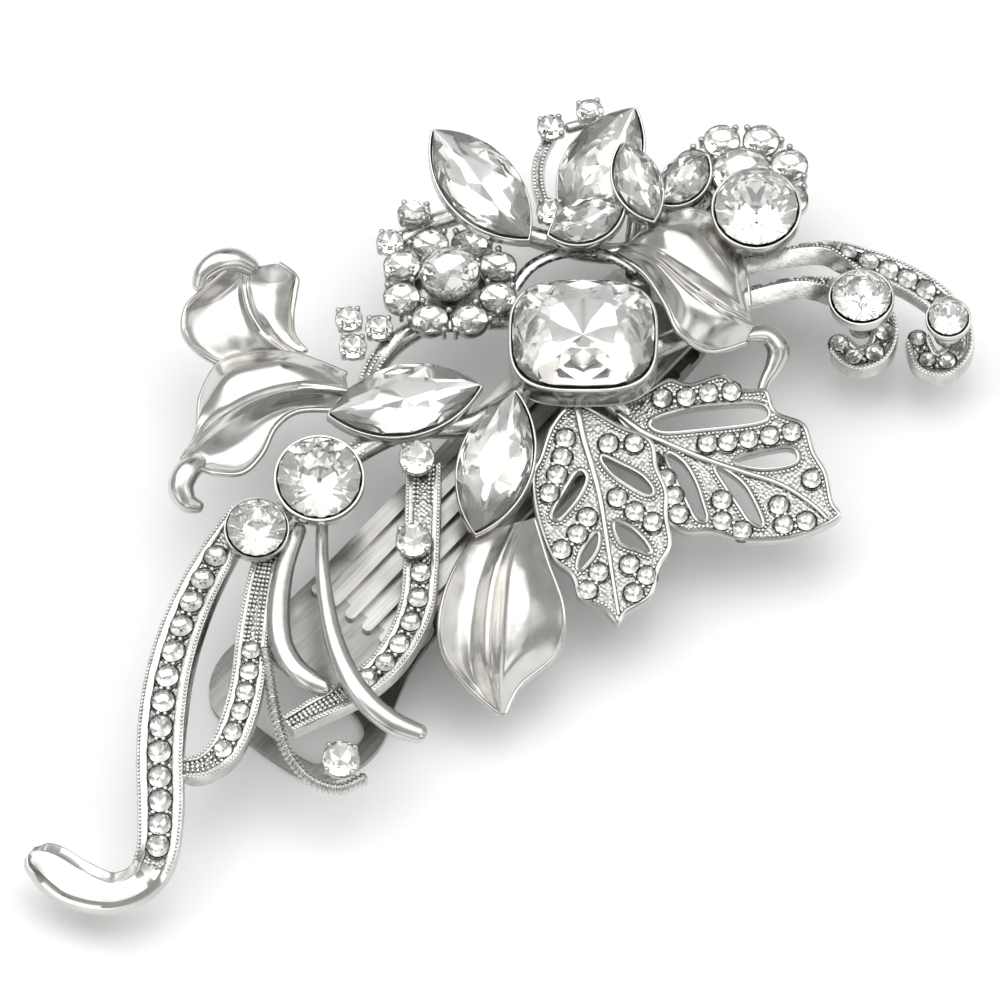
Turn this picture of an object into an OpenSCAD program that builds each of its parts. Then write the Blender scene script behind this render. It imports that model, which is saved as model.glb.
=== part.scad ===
// Floral rhinestone hair clip: a sprung beak clip that carries a soldered spray of
// lilies, filigree leaves, pave scrolls and set crystals. Millimetres.
// Frame: origin at the centre of the lower jaw's flat underside, +X along the clip
// towards its tip, +Z up to the decorated side. The spray has its own frame, turned
// about +Z from the clip's.

/* [Clip] */
// Distance from the origin to the tip of the jaws
jaw_reach = 32; // [28:1:36]
// Half width of the ribbed upper jaw
jaw_half_w = 5.8; // [5.2:0.1:6.4]
// Thickness of the clip's sheet metal
sheet_t = 0.8; // [0.6:0.1:1]
// Height of the upper jaw's underside above the resting face
jaw_gap = 6.5; // [6.4:0.1:7]
// Distance from the origin back to the hinge pin
hinge_back = 19; // [18:0.5:20]
// Height of the hinge pin
hinge_h = 4.5; // [4.3:0.1:4.6]
// Radius of the hinge pin
pin_r = 0.9; // [0.7:0.05:1]
// Radial clearance of the pin in its bores
pin_clear = 0.05; // [0.02:0.01:0.1]
// Distance from the origin back to the end of the lower finger lever
lever_back = 37.5; // [36:0.5:42]
// Half width of the lower finger lever
lever_half_w = 9.2; // [8:0.2:10]

/* [Spray] */
// Angle of the spray's own frame from the clip's, clockwise from above
spray_turn = 50; // [40:1:60]
// Lean of the set crystals towards the front of the spray
lean = 12; // [0:1:20]
// Lean of the filigree leaves
leaf_lean = 10; // [5:1:14]
// Thickness of the cast petals
petal_t = 1.1; // [0.9:0.1:1.4]
// Thickness of the cast filigree leaves
leaf_t = 1; // [0.8:0.1:1.2]
// Depth of the pave scrolls
scroll_t = 1.8; // [1.4:0.1:2.2]

/* [Crystals] */
// Length of the cushion-cut centre crystal
cushion_l = 14; // [12:0.5:15]
// Width of the cushion-cut centre crystal
cushion_w = 12; // [10:0.5:13]
// Length of the large navette crystals
navette_l = 15; // [13:0.5:16]
// Width of the large navette crystals
navette_w = 7; // [6:0.5:7.5]
// Radius of the large round crystals
round_r = 4.1; // [3.6:0.1:4.3]
// Radius of the medium round crystals
medium_r = 2.9; // [2.4:0.1:3]
// Radius of the flower-petal crystals
flower_r = 1.7; // [1.4:0.1:1.8]
// Radius of the pave crystals
pave_r = 1; // [0.8:0.05:1.05]
// Wall of the bezels
bezel_wall = 0.5; // [0.4:0.05:0.6]

/* [Hidden] */
$fn = 32;

hinge = [-hinge_back, 0, hinge_h];
bore_r = pin_r + pin_clear;
ear_r = 1.8;
rib_h = 0.7;
steps = 4; // spline steps between two control points

// Crystals with a bezel or cup of their own: place, lean, turn
centre_at = [8.3, 9.9, 16];
left_navette_at = [-9.5, 3.2, 14.5];
lower_navette_at = [-0.5, -3.7, 14];
large_round_at = [-18, -6.4, 15.5];
medium_round_at = [-24.2, -11.3, 14];
front_at = [25.6, 23.6, 17.5];
tall_cup_at = [36.1, 15.4, 14];
ringed_cup_at = [44.8, 14.4, 11.5];
left_flower_at = [-5, 17.9, 12.8];
right_flower_at = [24.2, 30.2, 11.4];
large_leaf_at = [11.8, 4, 10.4];
small_leaf_at = [7.7, 3.8, 11.9];

// Top navettes: [place, turn, length, width]
top_navette_list = [
  [[-1.9, 27.2, 16.1], -50, 14.5, 7],
  [[10, 30.9, 13.5], 60, 13.6, 7],
  [[13.8, 26.5, 17.8], -68, 8.4, 4.3],
  [[8.6, 22.8, 16.4], 20, 7.6, 4.2],
  [[18.4, 28.5, 14.9], 48, 6.4, 4]
];

// Small prong-set crystals: [place, lean, radius]
accent_list = [
  [[-8.3, -2.7, 13.2], 12, 1.7],
  [[-8.6, -12, 12.9], 12, 1.7],
  [[-15.8, -35.2, 9.6], 12, 1.8]
];
bud_list = [
  [[5.1, 35.9, 12.6], 8, 1.3],
  [[9, 37.8, 12.6], 0, 1.3],
  [[5, 25.4, 13.9], 10, 1.3]
];
cluster_list = [
  [[-15.1, 14, 12], 5, 1.3],
  [[-12.1, 13, 12], 5, 1.3],
  [[-14.7, 10.8, 12], 5, 1.3]
];
flower_side_list = [
  [[-11, 22.9, 12], 5, 1.3],
  [[-8.6, 26.4, 12], -22, 1.6]
];

// Scroll bands: [x, y, top z, width, roll]
long_path = [
  [-25.6, -8.4, 12, 3, 0], [-28.6, -14, 12, 3.8, 0], [-30.9, -19.2, 12, 4.2, 5],
  [-32.6, -24.6, 11.5, 4.5, 8], [-33.5, -30, 11, 4.7, 8], [-33.8, -35.2, 10, 4.7, 6],
  [-33.7, -40.2, 9, 4.6, 4], [-34, -44.6, 8, 4.2, 0], [-35.4, -47.2, 6.8, 4, 0],
  [-38.5, -48, 5.6, 4.4, 0], [-42, -46.6, 5, 5.2, 0], [-44.6, -45, 5.7, 4.8, 0],
  [-45.9, -44.4, 6.2, 3.4, 0], [-46.5, -44, 6.5, 1.4, 0]
];
short_path = [
  [-23.2, -13, 11.8, 2.6, 0], [-24, -17.6, 11.8, 3, 0], [-24.6, -22.4, 11.6, 3.3, 0],
  [-25, -26.7, 11.4, 3.4, 0], [-25.8, -30.6, 11, 3.4, 0], [-27.3, -34.1, 10.2, 3.3, 0],
  [-29.4, -35.8, 9.6, 2.8, 0], [-31.8, -36, 9.4, 2.2, 0]
];
inner_path = [
  [-7.6, -2.6, 11.5, 3.6, 0], [-7.7, -8.8, 11.5, 3.6, 0], [-7.9, -14.8, 11.2, 3.6, 0],
  [-8.3, -18.4, 11, 3.6, 0], [-9.5, -21.8, 10.9, 3.4, 0], [-11.2, -24.6, 10.8, 3.2, 0],
  [-13.4, -26.9, 10.8, 3, 0], [-16, -28.8, 10.9, 2.8, 0], [-18.8, -30.5, 11, 2.4, 0],
  [-21, -31.9, 11, 2, 0]
];
upper_right_path = [
  [24.2, 21.6, 11, 2.6, -60], [29, 22.6, 11, 2.6, -60], [33, 23.2, 10.6, 2.8, -45],
  [36.6, 21.9, 10, 3, -8], [39.2, 20.9, 9.6, 3, 4], [41.6, 19.8, 9.1, 3, 6],
  [43.9, 18.2, 8.5, 3, 6], [45.6, 15.8, 8, 3, 4], [45.8, 13.4, 7.4, 3, 0],
  [44.4, 11.8, 7, 3, 0], [42.6, 12.3, 7, 3, 0], [41.8, 14.6, 7, 2.6, 0]
];
lower_right_path = [
  [24.2, 17.6, 10.8, 2.4, -60], [27.5, 18.6, 10.8, 2.4, -60], [30.5, 19.2, 10.6, 2.6, -55],
  [33.8, 19.2, 9.6, 2.8, -30], [36.6, 18, 9, 2.8, 0], [38.4, 15.6, 8.4, 2.8, 0],
  [37.8, 12.9, 7.8, 2.8, 0], [35.6, 12.2, 7.4, 2.8, 0], [33.9, 13.9, 7.2, 2.6, 0]
];

// Crystals along each scroll: [first, last, count, radius], in control points from 0
long_row = [0.9, 6.9, 13, 1.2];
short_row = [2.35, 5.1, 6, 0.98];
inner_row = [2, 5.9, 6, 1.05];
upper_right_flat_row = [3.1, 6.2, 5, 1.05];
upper_right_edge_row = [0.8, 2.5, 4, 0.9];
upper_right_curl_row = [8.8, 11, 3, 0.85];
lower_right_edge_row = [0.5, 2.9, 4, 0.9];
lower_right_curl_row = [5.3, 8, 4, 0.95];

// Round cast rods: [x, y, z, radius]
stamen_left_path = [
  [-20.1, -10.2, 12, 0.9], [-21.4, -14.7, 12.2, 1], [-22, -19.2, 12.2, 1.15],
  [-21.8, -23.1, 12, 1.2], [-20.6, -25.8, 11.8, 1.2], [-18.9, -27.4, 11.6, 1.15], [-17.4, -28.1, 11.4, 0.9]
];
stamen_right_path = [
  [-17.7, -9.4, 12.4, 0.6], [-17.7, -14.8, 13.2, 0.7], [-17.2, -20, 13.4, 0.85],
  [-16.3, -24.4, 13.4, 1], [-14.8, -28.2, 13.2, 1.15], [-12.8, -30.9, 12.7, 1.2],
  [-10.4, -32.6, 12, 1.2], [-7.9, -33.4, 11.4, 1]
];
curl_path = [
  [-23.4, -23.8, 11.4, 0.5], [-22.8, -27.6, 11.2, 0.5], [-22.2, -31.2, 10.4, 0.55],
  [-21, -34.5, 9.4, 0.55], [-18.9, -36.9, 8.6, 0.55], [-16, -37.8, 8.2, 0.55],
  [-13.6, -36.6, 8, 0.55]
];
bud_stem_path = [
  [5.1, 35.7, 10.8, 0.7], [4, 33, 11, 0.7], [3.8, 30, 11.4, 0.7], [4.4, 27, 12, 0.7],
  [5.2, 25, 12.4, 0.7]
];
rim_path = [
  [1.4, 17, 13, 1.1, 0], [3, 19.2, 13.4, 1.2, 0], [5.4, 20.4, 13.8, 1.2, 0],
  [8.2, 20.6, 14.2, 1.2, 0], [11.2, 19.7, 14.6, 1.1, 0], [13.6, 18, 14.8, 1, 0]
];

// Lily petals: two edges and a vein, each from the base to the tip
left_upper_outer = [[-21.6, 8.2, 11.2], [-27.6, 9.4, 10.8], [-31.2, 11.2, 12.8], [-31.4, 14, 14],
  [-29.4, 15.8, 15.2], [-27.4, 17.4, 16]];
left_upper_vein = [[-20.6, 9.2, 12.8], [-23.2, 11.2, 13.2], [-24.8, 14, 13], [-25.4, 16.5, 13.2],
  [-25.4, 17.8, 13.8], [-25, 18.5, 14.4]];
left_upper_inner = [[-19.4, 10.2, 12.4], [-20.6, 11.6, 13], [-20.8, 13.4, 14], [-20.5, 15.6, 14.5],
  [-20.4, 17.2, 15], [-22, 18.7, 15]];
left_hook = [
  [-24.8, 18.4, 14.6, 1], [-26.4, 18.7, 15.6, 1.2], [-28.2, 18.2, 16, 1.2],
  [-29.6, 17.2, 15.6, 1], [-30.1, 16, 14.8, 0.7]
];
left_lower_upper = [[-15.4, 7.2, 13], [-20, 9, 13.5], [-23.8, 9.6, 13], [-27.7, 8.9, 12.5],
  [-29.8, 6, 10.8], [-30.2, 2, 10.2], [-31.4, -0.4, 10.2]];
left_lower_vein = [[-15.2, 4, 15], [-19.7, 3.6, 16], [-23.8, 2.8, 15.6], [-27, 1.5, 14.6],
  [-29.4, 0.2, 13], [-30.8, -1, 12], [-31.9, -1.7, 11.2]];
left_lower_under = [[-16.6, 2.8, 13.4], [-20.2, 2.5, 13.6], [-22.4, 0.9, 13.2], [-23.8, -1.9, 12.6],
  [-25.7, -3.9, 12.5], [-28.3, -3.9, 12.4], [-30, -3, 11.8]];
left_curl = [
  [-30.1, -2.3, 11.5, 1.1], [-31.2, -3.5, 11.6, 1.3], [-31.8, -5, 11.2, 1.3],
  [-31.2, -6.3, 10.6, 1.1], [-30, -6.7, 10.2, 0.7]
];
right_outer = [[13.2, 21.6, 14.6], [16, 23.7, 15.2], [20, 24.9, 15], [23.2, 22.8, 13.3],
  [24.6, 18.8, 12.5], [24.9, 15.6, 12]];
right_vein = [[12.4, 21, 14.4], [15.4, 18.7, 16.4], [18.4, 15.6, 17.3], [21.1, 13.6, 17],
  [23.5, 12.5, 15.8], [25.3, 12, 14.2]];
right_inner = [[11.4, 20.4, 14.2], [14.3, 17.6, 15.2], [16.4, 13.8, 15.8], [18, 10.4, 15.4],
  [21, 9.3, 13.8], [24.6, 10.9, 12.8]];
right_tail = [
  [24.6, 11.6, 12.8, 0.7], [26.6, 12.2, 11.8, 1.1], [27.8, 11.2, 10.8, 1.3],
  [27.4, 9.6, 10.2, 1], [26.6, 8.2, 9.8, 0.7], [26, 6.6, 9.2, 0.6]
];
lower_left = [[-2.2, -10.2, 11], [-4.5, -14.8, 12], [-5.9, -19.6, 11.5], [-5.6, -23.2, 9.8],
  [-3.2, -25.8, 7.8], [-0.1, -27.9, 6]];
lower_vein = [[2, -9.6, 12.2], [0.2, -15, 12.8], [-0.5, -19.6, 12], [-0.7, -23.6, 10.6],
  [-0.4, -26.2, 8.6], [0.2, -28.1, 6]];
lower_right = [[3.4, -8.4, 11], [4.7, -13, 10.5], [6.3, -18, 9.5], [5.7, -21.8, 7.8],
  [2, -25, 6.6], [0.5, -27.9, 6]];

// Filigree leaves, flat, with the stalk at the origin
large_leaf_edge = [
  [-0.4, 0.6], [2.6, 2.2], [5, 3.5], [7.2, 3], [10.4, 3.9], [12.4, 2.4], [14.8, 2.3], [15.8, 0],
  [18.6, -1.3], [19.6, -4.2], [20.8, -6.4], [21.4, -9.4], [22.2, -10.9], [20.2, -12.3],
  [16.8, -13.6], [12.4, -13.8], [9.3, -12.9], [6.6, -12.9], [4.8, -11.7], [4, -9],
  [2.7, -5.7], [1.3, -2.6]
];
large_leaf_slots = [
  [[3.4, -0.9], [7.2, 0.3], [12.2, 0.7], [14.4, 0.5], [14.9, -0.4], [13.6, -1.1], [8.2, -1.7], [4.4, -1.9]],
  [[11.7, -5.1], [14.2, -4.3], [17.1, -3.9], [17.8, -4.8], [17, -5.5], [14.2, -5.8]],
  [[4.9, -4.4], [6.4, -5.3], [7.6, -7.4], [8.3, -9.6], [8.7, -11.4], [7.9, -11.3], [7, -9.4], [6, -7.2]],
  [[9.8, -5.7], [12.2, -7.4], [13.5, -9.6], [14.3, -11.9], [13.2, -11.5], [12.2, -9.9], [11, -8]]
];
large_leaf_rib = [[0, 0], [2.2, -1.9], [5.2, -3.4], [8.4, -4.8], [12.2, -6.2], [16.2, -7.6],
  [19.2, -9.6], [20.8, -11.2]];
large_leaf_stones = [
  [4.4, 1.4], [6.8, 1.5], [9, 1.9], [11.3, 2], [8.9, -3.3], [10.9, -3.2], [13, -2.9], [15.1, -2.6],
  [17.3, -2.2], [19.3, -7.1], [10.3, -9.4], [10.3, -11.7], [12.3, -12.7], [16, -9.9], [16.5, -12],
  [18.7, -11.6], [3.5, -5.3], [4.7, -7.1], [5.5, -9], [6, -11]
];
small_leaf_edge = [
  [-0.9, 0.2], [-2.7, -2.1], [-3.8, -5.4], [-4.6, -7.5], [-4.2, -11.5], [-2.7, -16], [-0.6, -18],
  [0.2, -20.4], [2.6, -21.6], [4, -23], [5, -21.8], [7.4, -20.2], [8.2, -17.2], [9.4, -14.8],
  [9, -11.6], [9, -9], [8, -6.4], [7.4, -3.6], [4.2, -1.9], [0.9, 0.2]
];
small_leaf_slots = [
  [[0.1, -6.9], [0.8, -7.5], [0.3, -9], [-0.7, -10.6], [-1.9, -11.9], [-2.4, -11.4], [-1.2, -9]],
  [[2, -13.4], [1.9, -14.9], [1.1, -16.3], [0.2, -17.2], [0.4, -15.8], [1.2, -14.3]],
  [[2.5, -5.3], [4.3, -6.2], [6.3, -7.4], [7.4, -8.8], [7.1, -9.4], [5.3, -8.4], [3.4, -6.9]],
  [[3.8, -12.3], [5.3, -12.9], [6.7, -14.4], [7.2, -15.5], [6.2, -15.1], [4.4, -14.3]]
];
small_leaf_rib = [[0, 0], [0.6, -3.2], [1.5, -6.4], [2.3, -9.8], [2.9, -13.8], [3.5, -18],
  [4.1, -22]];
small_leaf_stones = [
  [-1.2, -3.4], [-1.5, -5.4], [-2, -7.3], [-2.8, -9.3], [1, -11.8], [0, -13.6], [-1.6, -15.3],
  [1, -19.5], [2.1, -17.6], [3.1, -4], [5.7, -4], [4, -9.7], [5.7, -11.2], [7.5, -12.4],
  [5.2, -16.8], [6.9, -18], [5.6, -19.8]
];

// ---- curves and surfaces ----

function blend4(a, b, c, d, t) =
  0.5 * (2 * b + (c - a) * t + (2 * a - 5 * b + 4 * c - d) * t * t
    + (3 * b - a - 3 * c + d) * t * t * t);

function held(p, i) = p[max(0, min(len(p) - 1, i))];

function looped(p, i) = p[(i + len(p)) % len(p)];

function at(p, t) =
  let (i = min(floor(t), len(p) - 2), f = t - i)
  blend4(held(p, i - 1), held(p, i), held(p, i + 1), held(p, i + 2), f);

function smooth_loop(p, n = 3) = [
  for (i = [0:len(p) - 1], j = [0:n - 1])
    blend4(looped(p, i - 1), looped(p, i), looped(p, i + 1), looped(p, i + 2), j / n)
];

function place3(p) = [p[0], p[1], p[2]];

function unit(v) = v / norm(v);

function heading(p, t) =
  let (a = max(0, t - 0.05), b = min(len(p) - 1, t + 0.05))
  unit(place3(at(p, b)) - place3(at(p, a)));

function side_of(dir, roll) =
  let (s = unit(cross([0, 0, 1], dir)), n = cross(dir, s))
  s * cos(roll) + n * sin(roll);

function side_at(p, t) = side_of(heading(p, t), at(p, t)[4]);

function normal_at(p, t) = cross(heading(p, t), side_at(p, t));

// Side skin of a stack of rings, each with n points
function ring_faces(rings, n) = [
  for (i = [0:rings - 2], k = [0:n - 1])
    let (a = i * n + k, b = i * n + (k + 1) % n)
    each [[a, b, b + n], [a, b + n, a + n]]
];

// Closed stack of convex rings
function stack_faces(rings, n) = concat(
  [for (k = [1:n - 2]) [0, k + 1, k]],
  ring_faces(rings, n),
  [for (k = [1:n - 2]) [(rings - 1) * n, (rings - 1) * n + k, (rings - 1) * n + k + 1]]
);

// Closed sheet: each ring runs along the top row and back along the bottom row
function sheet_faces(rings, cols) =
  let (n = 2 * cols + 2, last = (rings - 1) * n)
  concat(
    [for (k = [0:cols - 1]) each
      [[k, n - 1 - k, n - 2 - k], [k, n - 2 - k, k + 1]]],
    ring_faces(rings, n),
    [for (k = [0:cols - 1]) each
      [[last + k, last + n - 2 - k, last + n - 1 - k], [last + k, last + k + 1, last + n - 2 - k]]]
  );

// Free-form pieces joined into one cast surface
module casting() {
  resize([0, 0, 0]) children();
}

// Flat band with its top face along the path
module band(path, depth) {
  last = (len(path) - 1) * steps;
  points = [
    for (i = [0:last])
      let (
        t = i / steps, p = at(path, t), s = side_at(path, t) * p[3] / 2,
        n = normal_at(path, t) * depth, top = place3(p)
      )
      each [top - s, top - n - s, top - n + s, top + s]
  ];
  polyhedron(points, stack_faces(last + 1, 4), convexity = 8);
}

// Round rod whose radius is the path's fourth value
module rod(path) {
  sides = 8;
  last = (len(path) - 1) * steps;
  points = [
    for (i = [0:last])
      let (
        t = i / steps, p = at(path, t), d = heading(path, t),
        s = unit(cross([0, 0, 1], d)), u = cross(d, s)
      )
      each [for (k = [0:sides - 1])
        place3(p) - (s * cos(k * 360 / sides) - u * sin(k * 360 / sides)) * p[3]]
  ];
  polyhedron(points, stack_faces(last + 1, sides), convexity = 8);
}

// Cast petal through an edge, a vein and the other edge. Seen from the petal's tip the
// first edge is on the left. Each half bulges by its own rise halfway to its edge.
module petal(left, vein, right, rise_left, rise_right) {
  rows = (len(vein) - 1) * steps;
  cols = 4 * 3;
  grid = [
    for (i = [0:rows])
      let (
        t = i / steps, a = at(left, t), b = at(vein, t), c = at(right, t),
        fade = min(1, 4 * t / (len(vein) - 1), 4 * (len(vein) - 1 - t) / (len(vein) - 1)),
        row = [a, (a + b) / 2 + [0, 0, rise_left * fade], b,
               (b + c) / 2 + [0, 0, rise_right * fade], c]
      )
      [for (k = [0:cols]) at(row, k * 4 / cols)]
  ];
  points = [
    for (i = [0:rows])
      each concat(grid[i], [for (k = [cols:-1:0]) grid[i][k] - [0, 0, petal_t]])
  ];
  polyhedron(points, sheet_faces(rows + 1, cols), convexity = 10);
}

// ---- placing ----

module spray() {
  rotate([0, 0, -spray_turn]) children();
}

module set_at(p, tilt = lean, turn = 0) {
  translate(p) rotate([tilt, 0, 0]) rotate([0, 0, turn]) children();
}

// Children stand on a band at one control value, their Z along its normal
module on_band(path, t, lift = 0) {
  p = place3(at(path, t));
  n = normal_at(path, t);
  translate(p + n * lift)
    rotate([0, acos(n[2]), atan2(n[1], n[0])])
      children();
}

module row_on_band(path, row) {
  for (i = [0:row[2] - 1])
    on_band(path, row[0] + (row[1] - row[0]) * i / (row[2] - 1))
      pave(row[3]);
}

// ---- cut crystals and their settings ----

// Round crystal, girdle at z = 0
module brilliant(r) {
  rotate_extrude()
    polygon([[0, -0.75 * r], [r, -0.06 * r], [r, 0.06 * r], [0.58 * r, 0.42 * r], [0, 0.42 * r]]);
}

// Pave crystal with its girdle just above the metal
module pave(r) {
  translate([0, 0, 0.1])
    rotate_extrude()
      polygon([[0, -0.5 * r], [r, -0.1 * r], [r, 0.05 * r], [0.58 * r, 0.4 * r], [0, 0.4 * r]]);
}

// Cup around a round crystal, standing on a foot of its own
module cup(r, depth, wall = bezel_wall) {
  rotate_extrude()
    polygon([
      [0, -depth], [0.7 * r, -depth], [r + wall, -0.4 * r], [r + wall, 0.1 * r], [r, 0.1 * r],
      [r, -0.06 * r], [0, -0.75 * r]
    ]);
}

function navette(l, w, n = 12) =
  let (radius = (l * l + w * w) / (4 * w), drop = radius - w / 2, half = asin(l / 2 / radius))
  concat(
    [for (i = [0:n - 1]) let (a = half - 2 * half * i / n) [radius * sin(a), radius * cos(a) - drop]],
    [for (i = [0:n - 1]) let (a = -half + 2 * half * i / n) [radius * sin(a), drop - radius * cos(a)]]
  );

function cushion(l, w, n = 40, power = 2 / 3.1) = [
  for (i = [0:n - 1])
    let (a = 360 * i / n)
    [l / 2 * sign(cos(a)) * pow(abs(cos(a)), power), w / 2 * sign(sin(a)) * pow(abs(sin(a)), power)]
];

function scaled(p, k) = [for (q = p) q * k];

// Faceted crystal over any outline, girdle at z = 0
module fancy(outline, crown, pavilion) {
  hull() {
    translate([0, 0, -0.1]) linear_extrude(0.2) polygon(outline);
    translate([0, 0, crown - 0.02]) linear_extrude(0.02) polygon(scaled(outline, 0.55));
    translate([0, 0, -pavilion]) linear_extrude(0.02) polygon(scaled(outline, 0.15));
  }
}

// Straight-walled cup around an outline, closed below
module fancy_cup(outline, outer, depth, floor_t) {
  difference() {
    translate([0, 0, -depth]) linear_extrude(depth + 0.35) polygon(outer);
    translate([0, 0, floor_t - depth]) linear_extrude(depth + 1) polygon(outline);
  }
}

module navette_crystal(l, w) {
  color("lightcyan") fancy(navette(l, w), 1.3, 1.5);
}

module navette_cup(l, w) {
  color("silver") fancy_cup(navette(l, w), navette(l + 2.4 * bezel_wall, w + 2 * bezel_wall), 2.2, 0.5);
}

module prong_cups(list) {
  for (s = list) set_at(s[0], s[1]) cup(s[2], 1.5, 0.3);
}

module prong_crystals(list) {
  for (s = list) set_at(s[0], s[1]) brilliant(s[2]);
}

// ---- the clip ----

module side_extrude(profile, half_w) {
  rotate([90, 0, 0])
    translate([0, 0, -half_w])
      linear_extrude(2 * half_w)
        polygon(profile);
}

module ear_pair(inner_y, from_z, to_z) {
  for (s = [-1, 1])
    translate([hinge[0], s * (inner_y + sheet_t / 2), 0])
      union() {
        translate([0, 0, hinge[2]])
          rotate([90, 0, 0]) cylinder(r = ear_r, h = sheet_t, center = true);
        translate([-ear_r, -sheet_t / 2, from_z])
          cube([2 * ear_r, sheet_t, to_z - from_z]);
      }
}

module hinge_bore() {
  translate(hinge) rotate([90, 0, 0]) cylinder(r = bore_r, h = 30, center = true);
}

tab_rise = 1.4;
tab_back = lever_back - 5;
beak_x = jaw_reach - 8;
upper_ear_y = 4.9;
lower_ear_y = 4;

module upper_jaw() {
  top = jaw_gap + sheet_t;
  color("gainsboro") difference() {
    union() {
      intersection() {
        side_extrude([
          [-tab_back, jaw_gap + tab_rise], [-hinge_back - 3, jaw_gap], [beak_x, jaw_gap],
          [jaw_reach - 2, 2.8], [jaw_reach, 2.1], [jaw_reach + 0.6, 2.9], [jaw_reach - 1.6, 3.7],
          [beak_x + 0.4, top], [-hinge_back - 3, top], [-tab_back, top + tab_rise]
        ], 12);
        linear_extrude(20) polygon([
          [-tab_back, -3], [-tab_back + 0.8, -4.6], [-tab_back + 2.4, -5.6], [-27, -jaw_half_w],
          [beak_x, -jaw_half_w],
          [jaw_reach - 1, -4], [jaw_reach + 0.6, -2.6], [jaw_reach + 0.6, 2.6], [jaw_reach - 1, 4],
          [beak_x, jaw_half_w], [-27, jaw_half_w], [-tab_back + 2.4, 5.6], [-tab_back + 0.8, 4.6],
          [-tab_back, 3]
        ]);
      }
      for (y = [-4.4, -2.2, 0, 2.2, 4.4])
        hull()
          for (x = [-hinge_back - 4, 19.4])
            translate([x, y, top - 0.2]) cylinder(r = 0.6, h = rib_h + 0.2);
      ear_pair(upper_ear_y, hinge[2], jaw_gap + 0.3);
    }
    hinge_bore();
  }
}

module lower_jaw() {
  window_from = -lever_back + 1.8;
  color("gainsboro") difference() {
    union() {
      difference() {
        linear_extrude(sheet_t) polygon(smooth_loop([
          [-lever_back, -4.5], [-lever_back + 1.5, -7.6], [-lever_back + 4.5, -lever_half_w],
          [-29, -lever_half_w], [-24, -7], [-17, -5.4], [0, -5.2], [24, -5.2], [jaw_reach, -3],
          [jaw_reach, 3], [24, 5.2], [0, 5.2], [-17, 5.4], [-24, 7], [-29, lever_half_w],
          [-lever_back + 4.5, lever_half_w], [-lever_back + 1.5, 7.6], [-lever_back, 4.5]
        ], 4));
        translate([0, 0, -1]) linear_extrude(3) polygon(smooth_loop([
          [window_from, -4.4], [window_from + 1.2, -6.4], [window_from + 3.4, -7.4], [-29.6, -7.2],
          [-28.4, -4.6], [-27.8, 0], [-28.4, 4.6], [-29.6, 7.2], [window_from + 3.4, 7.4],
          [window_from + 1.2, 6.4], [window_from, 4.4]
        ], 4));
      }
      for (s = [-1, 1]) {
        translate([-12, s * 4.7 - 0.4, sheet_t - 0.2]) cube([38, 0.8, 0.5]);
        for (i = [0:12])
          translate([-11 + 3 * i, s * 4.7 - 0.4, sheet_t + 0.1]) cube([1.6, 0.8, 0.9]);
      }
      ear_pair(lower_ear_y, sheet_t - 0.3, hinge[2]);
    }
    hinge_bore();
  }
}

module hinge_pin() {
  head_y = upper_ear_y + sheet_t + 0.05;
  color("dimgray") translate(hinge) rotate([90, 0, 0])
    rotate_extrude()
      polygon([
        [0, -head_y - 0.5], [1.3, -head_y - 0.5], [1.5, -head_y - 0.25], [1.5, -head_y],
        [pin_r, -head_y], [pin_r, head_y], [1.5, head_y], [1.5, head_y + 0.25],
        [1.3, head_y + 0.5], [0, head_y + 0.5]
      ]);
}

coil_r = 1.5;
wire_r = 0.32;
coil_turns = 5.5;
coil_pitch = 0.9;
leg_reach = 7.5;

// Coil on the pin, with one leg under the upper tab and one on the lower lever
module torsion_spring() {
  half = coil_turns * coil_pitch / 2;
  leg_x = hinge[0] - leg_reach;
  under_tab = jaw_gap + tab_rise * (leg_reach - 3) / (tab_back - hinge_back - 3);
  wound = [
    for (i = [0:coil_turns * 12])
      let (a = 90 - 30 * i)
      [hinge[0] + coil_r * cos(a), -half + coil_pitch * i / 12, hinge[2] + coil_r * sin(a), wire_r]
  ];
  color("silver") wire(concat(
    [[leg_x, -half, under_tab - wire_r - 0.1, wire_r]],
    [[hinge[0] - 1.5, -half, hinge[2] + coil_r + 0.02, wire_r]],
    wound,
    [[hinge[0] - 1.5, half, hinge[2] - coil_r - 0.1, wire_r]],
    [[leg_x, half, sheet_t + wire_r + 0.05, wire_r]]
  ));
}

// Thin wire through points, with sides that stay upright along Y
module wire(points) {
  sides = 6;
  last = len(points) - 1;
  ring = [
    for (i = [0:last])
      let (
        a = points[max(0, i - 1)], b = points[min(last, i + 1)],
        d = unit(place3(b) - place3(a)), s = unit(cross(d, [0, 1, 0])), u = cross(s, d)
      )
      each [for (k = [0:sides - 1])
        place3(points[i]) + (s * cos(k * 360 / sides) - u * sin(k * 360 / sides)) * points[i][3]]
  ];
  polyhedron(ring, stack_faces(last + 1, sides), convexity = 10);
}

// ---- joining the spray to the clip ----

// Posts between the ribbed jaw and the castings: [x, y, top z, radius]
post_list = [
  [7.4, 8.2, 13.4, 2.4], [-0.4, -4.4, 12, 2], [-7.6, -4.6, 10.2, 1.6],
  [14, 18.4, 13.6, 1.5], [-8, -13.2, 9.6, 1.3]
];

module solder_posts() {
  color("silver") spray()
    for (p = post_list)
      translate([p[0], p[1], jaw_gap + sheet_t])
        cylinder(r = p[3], h = p[2] - jaw_gap - sheet_t);
}

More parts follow.
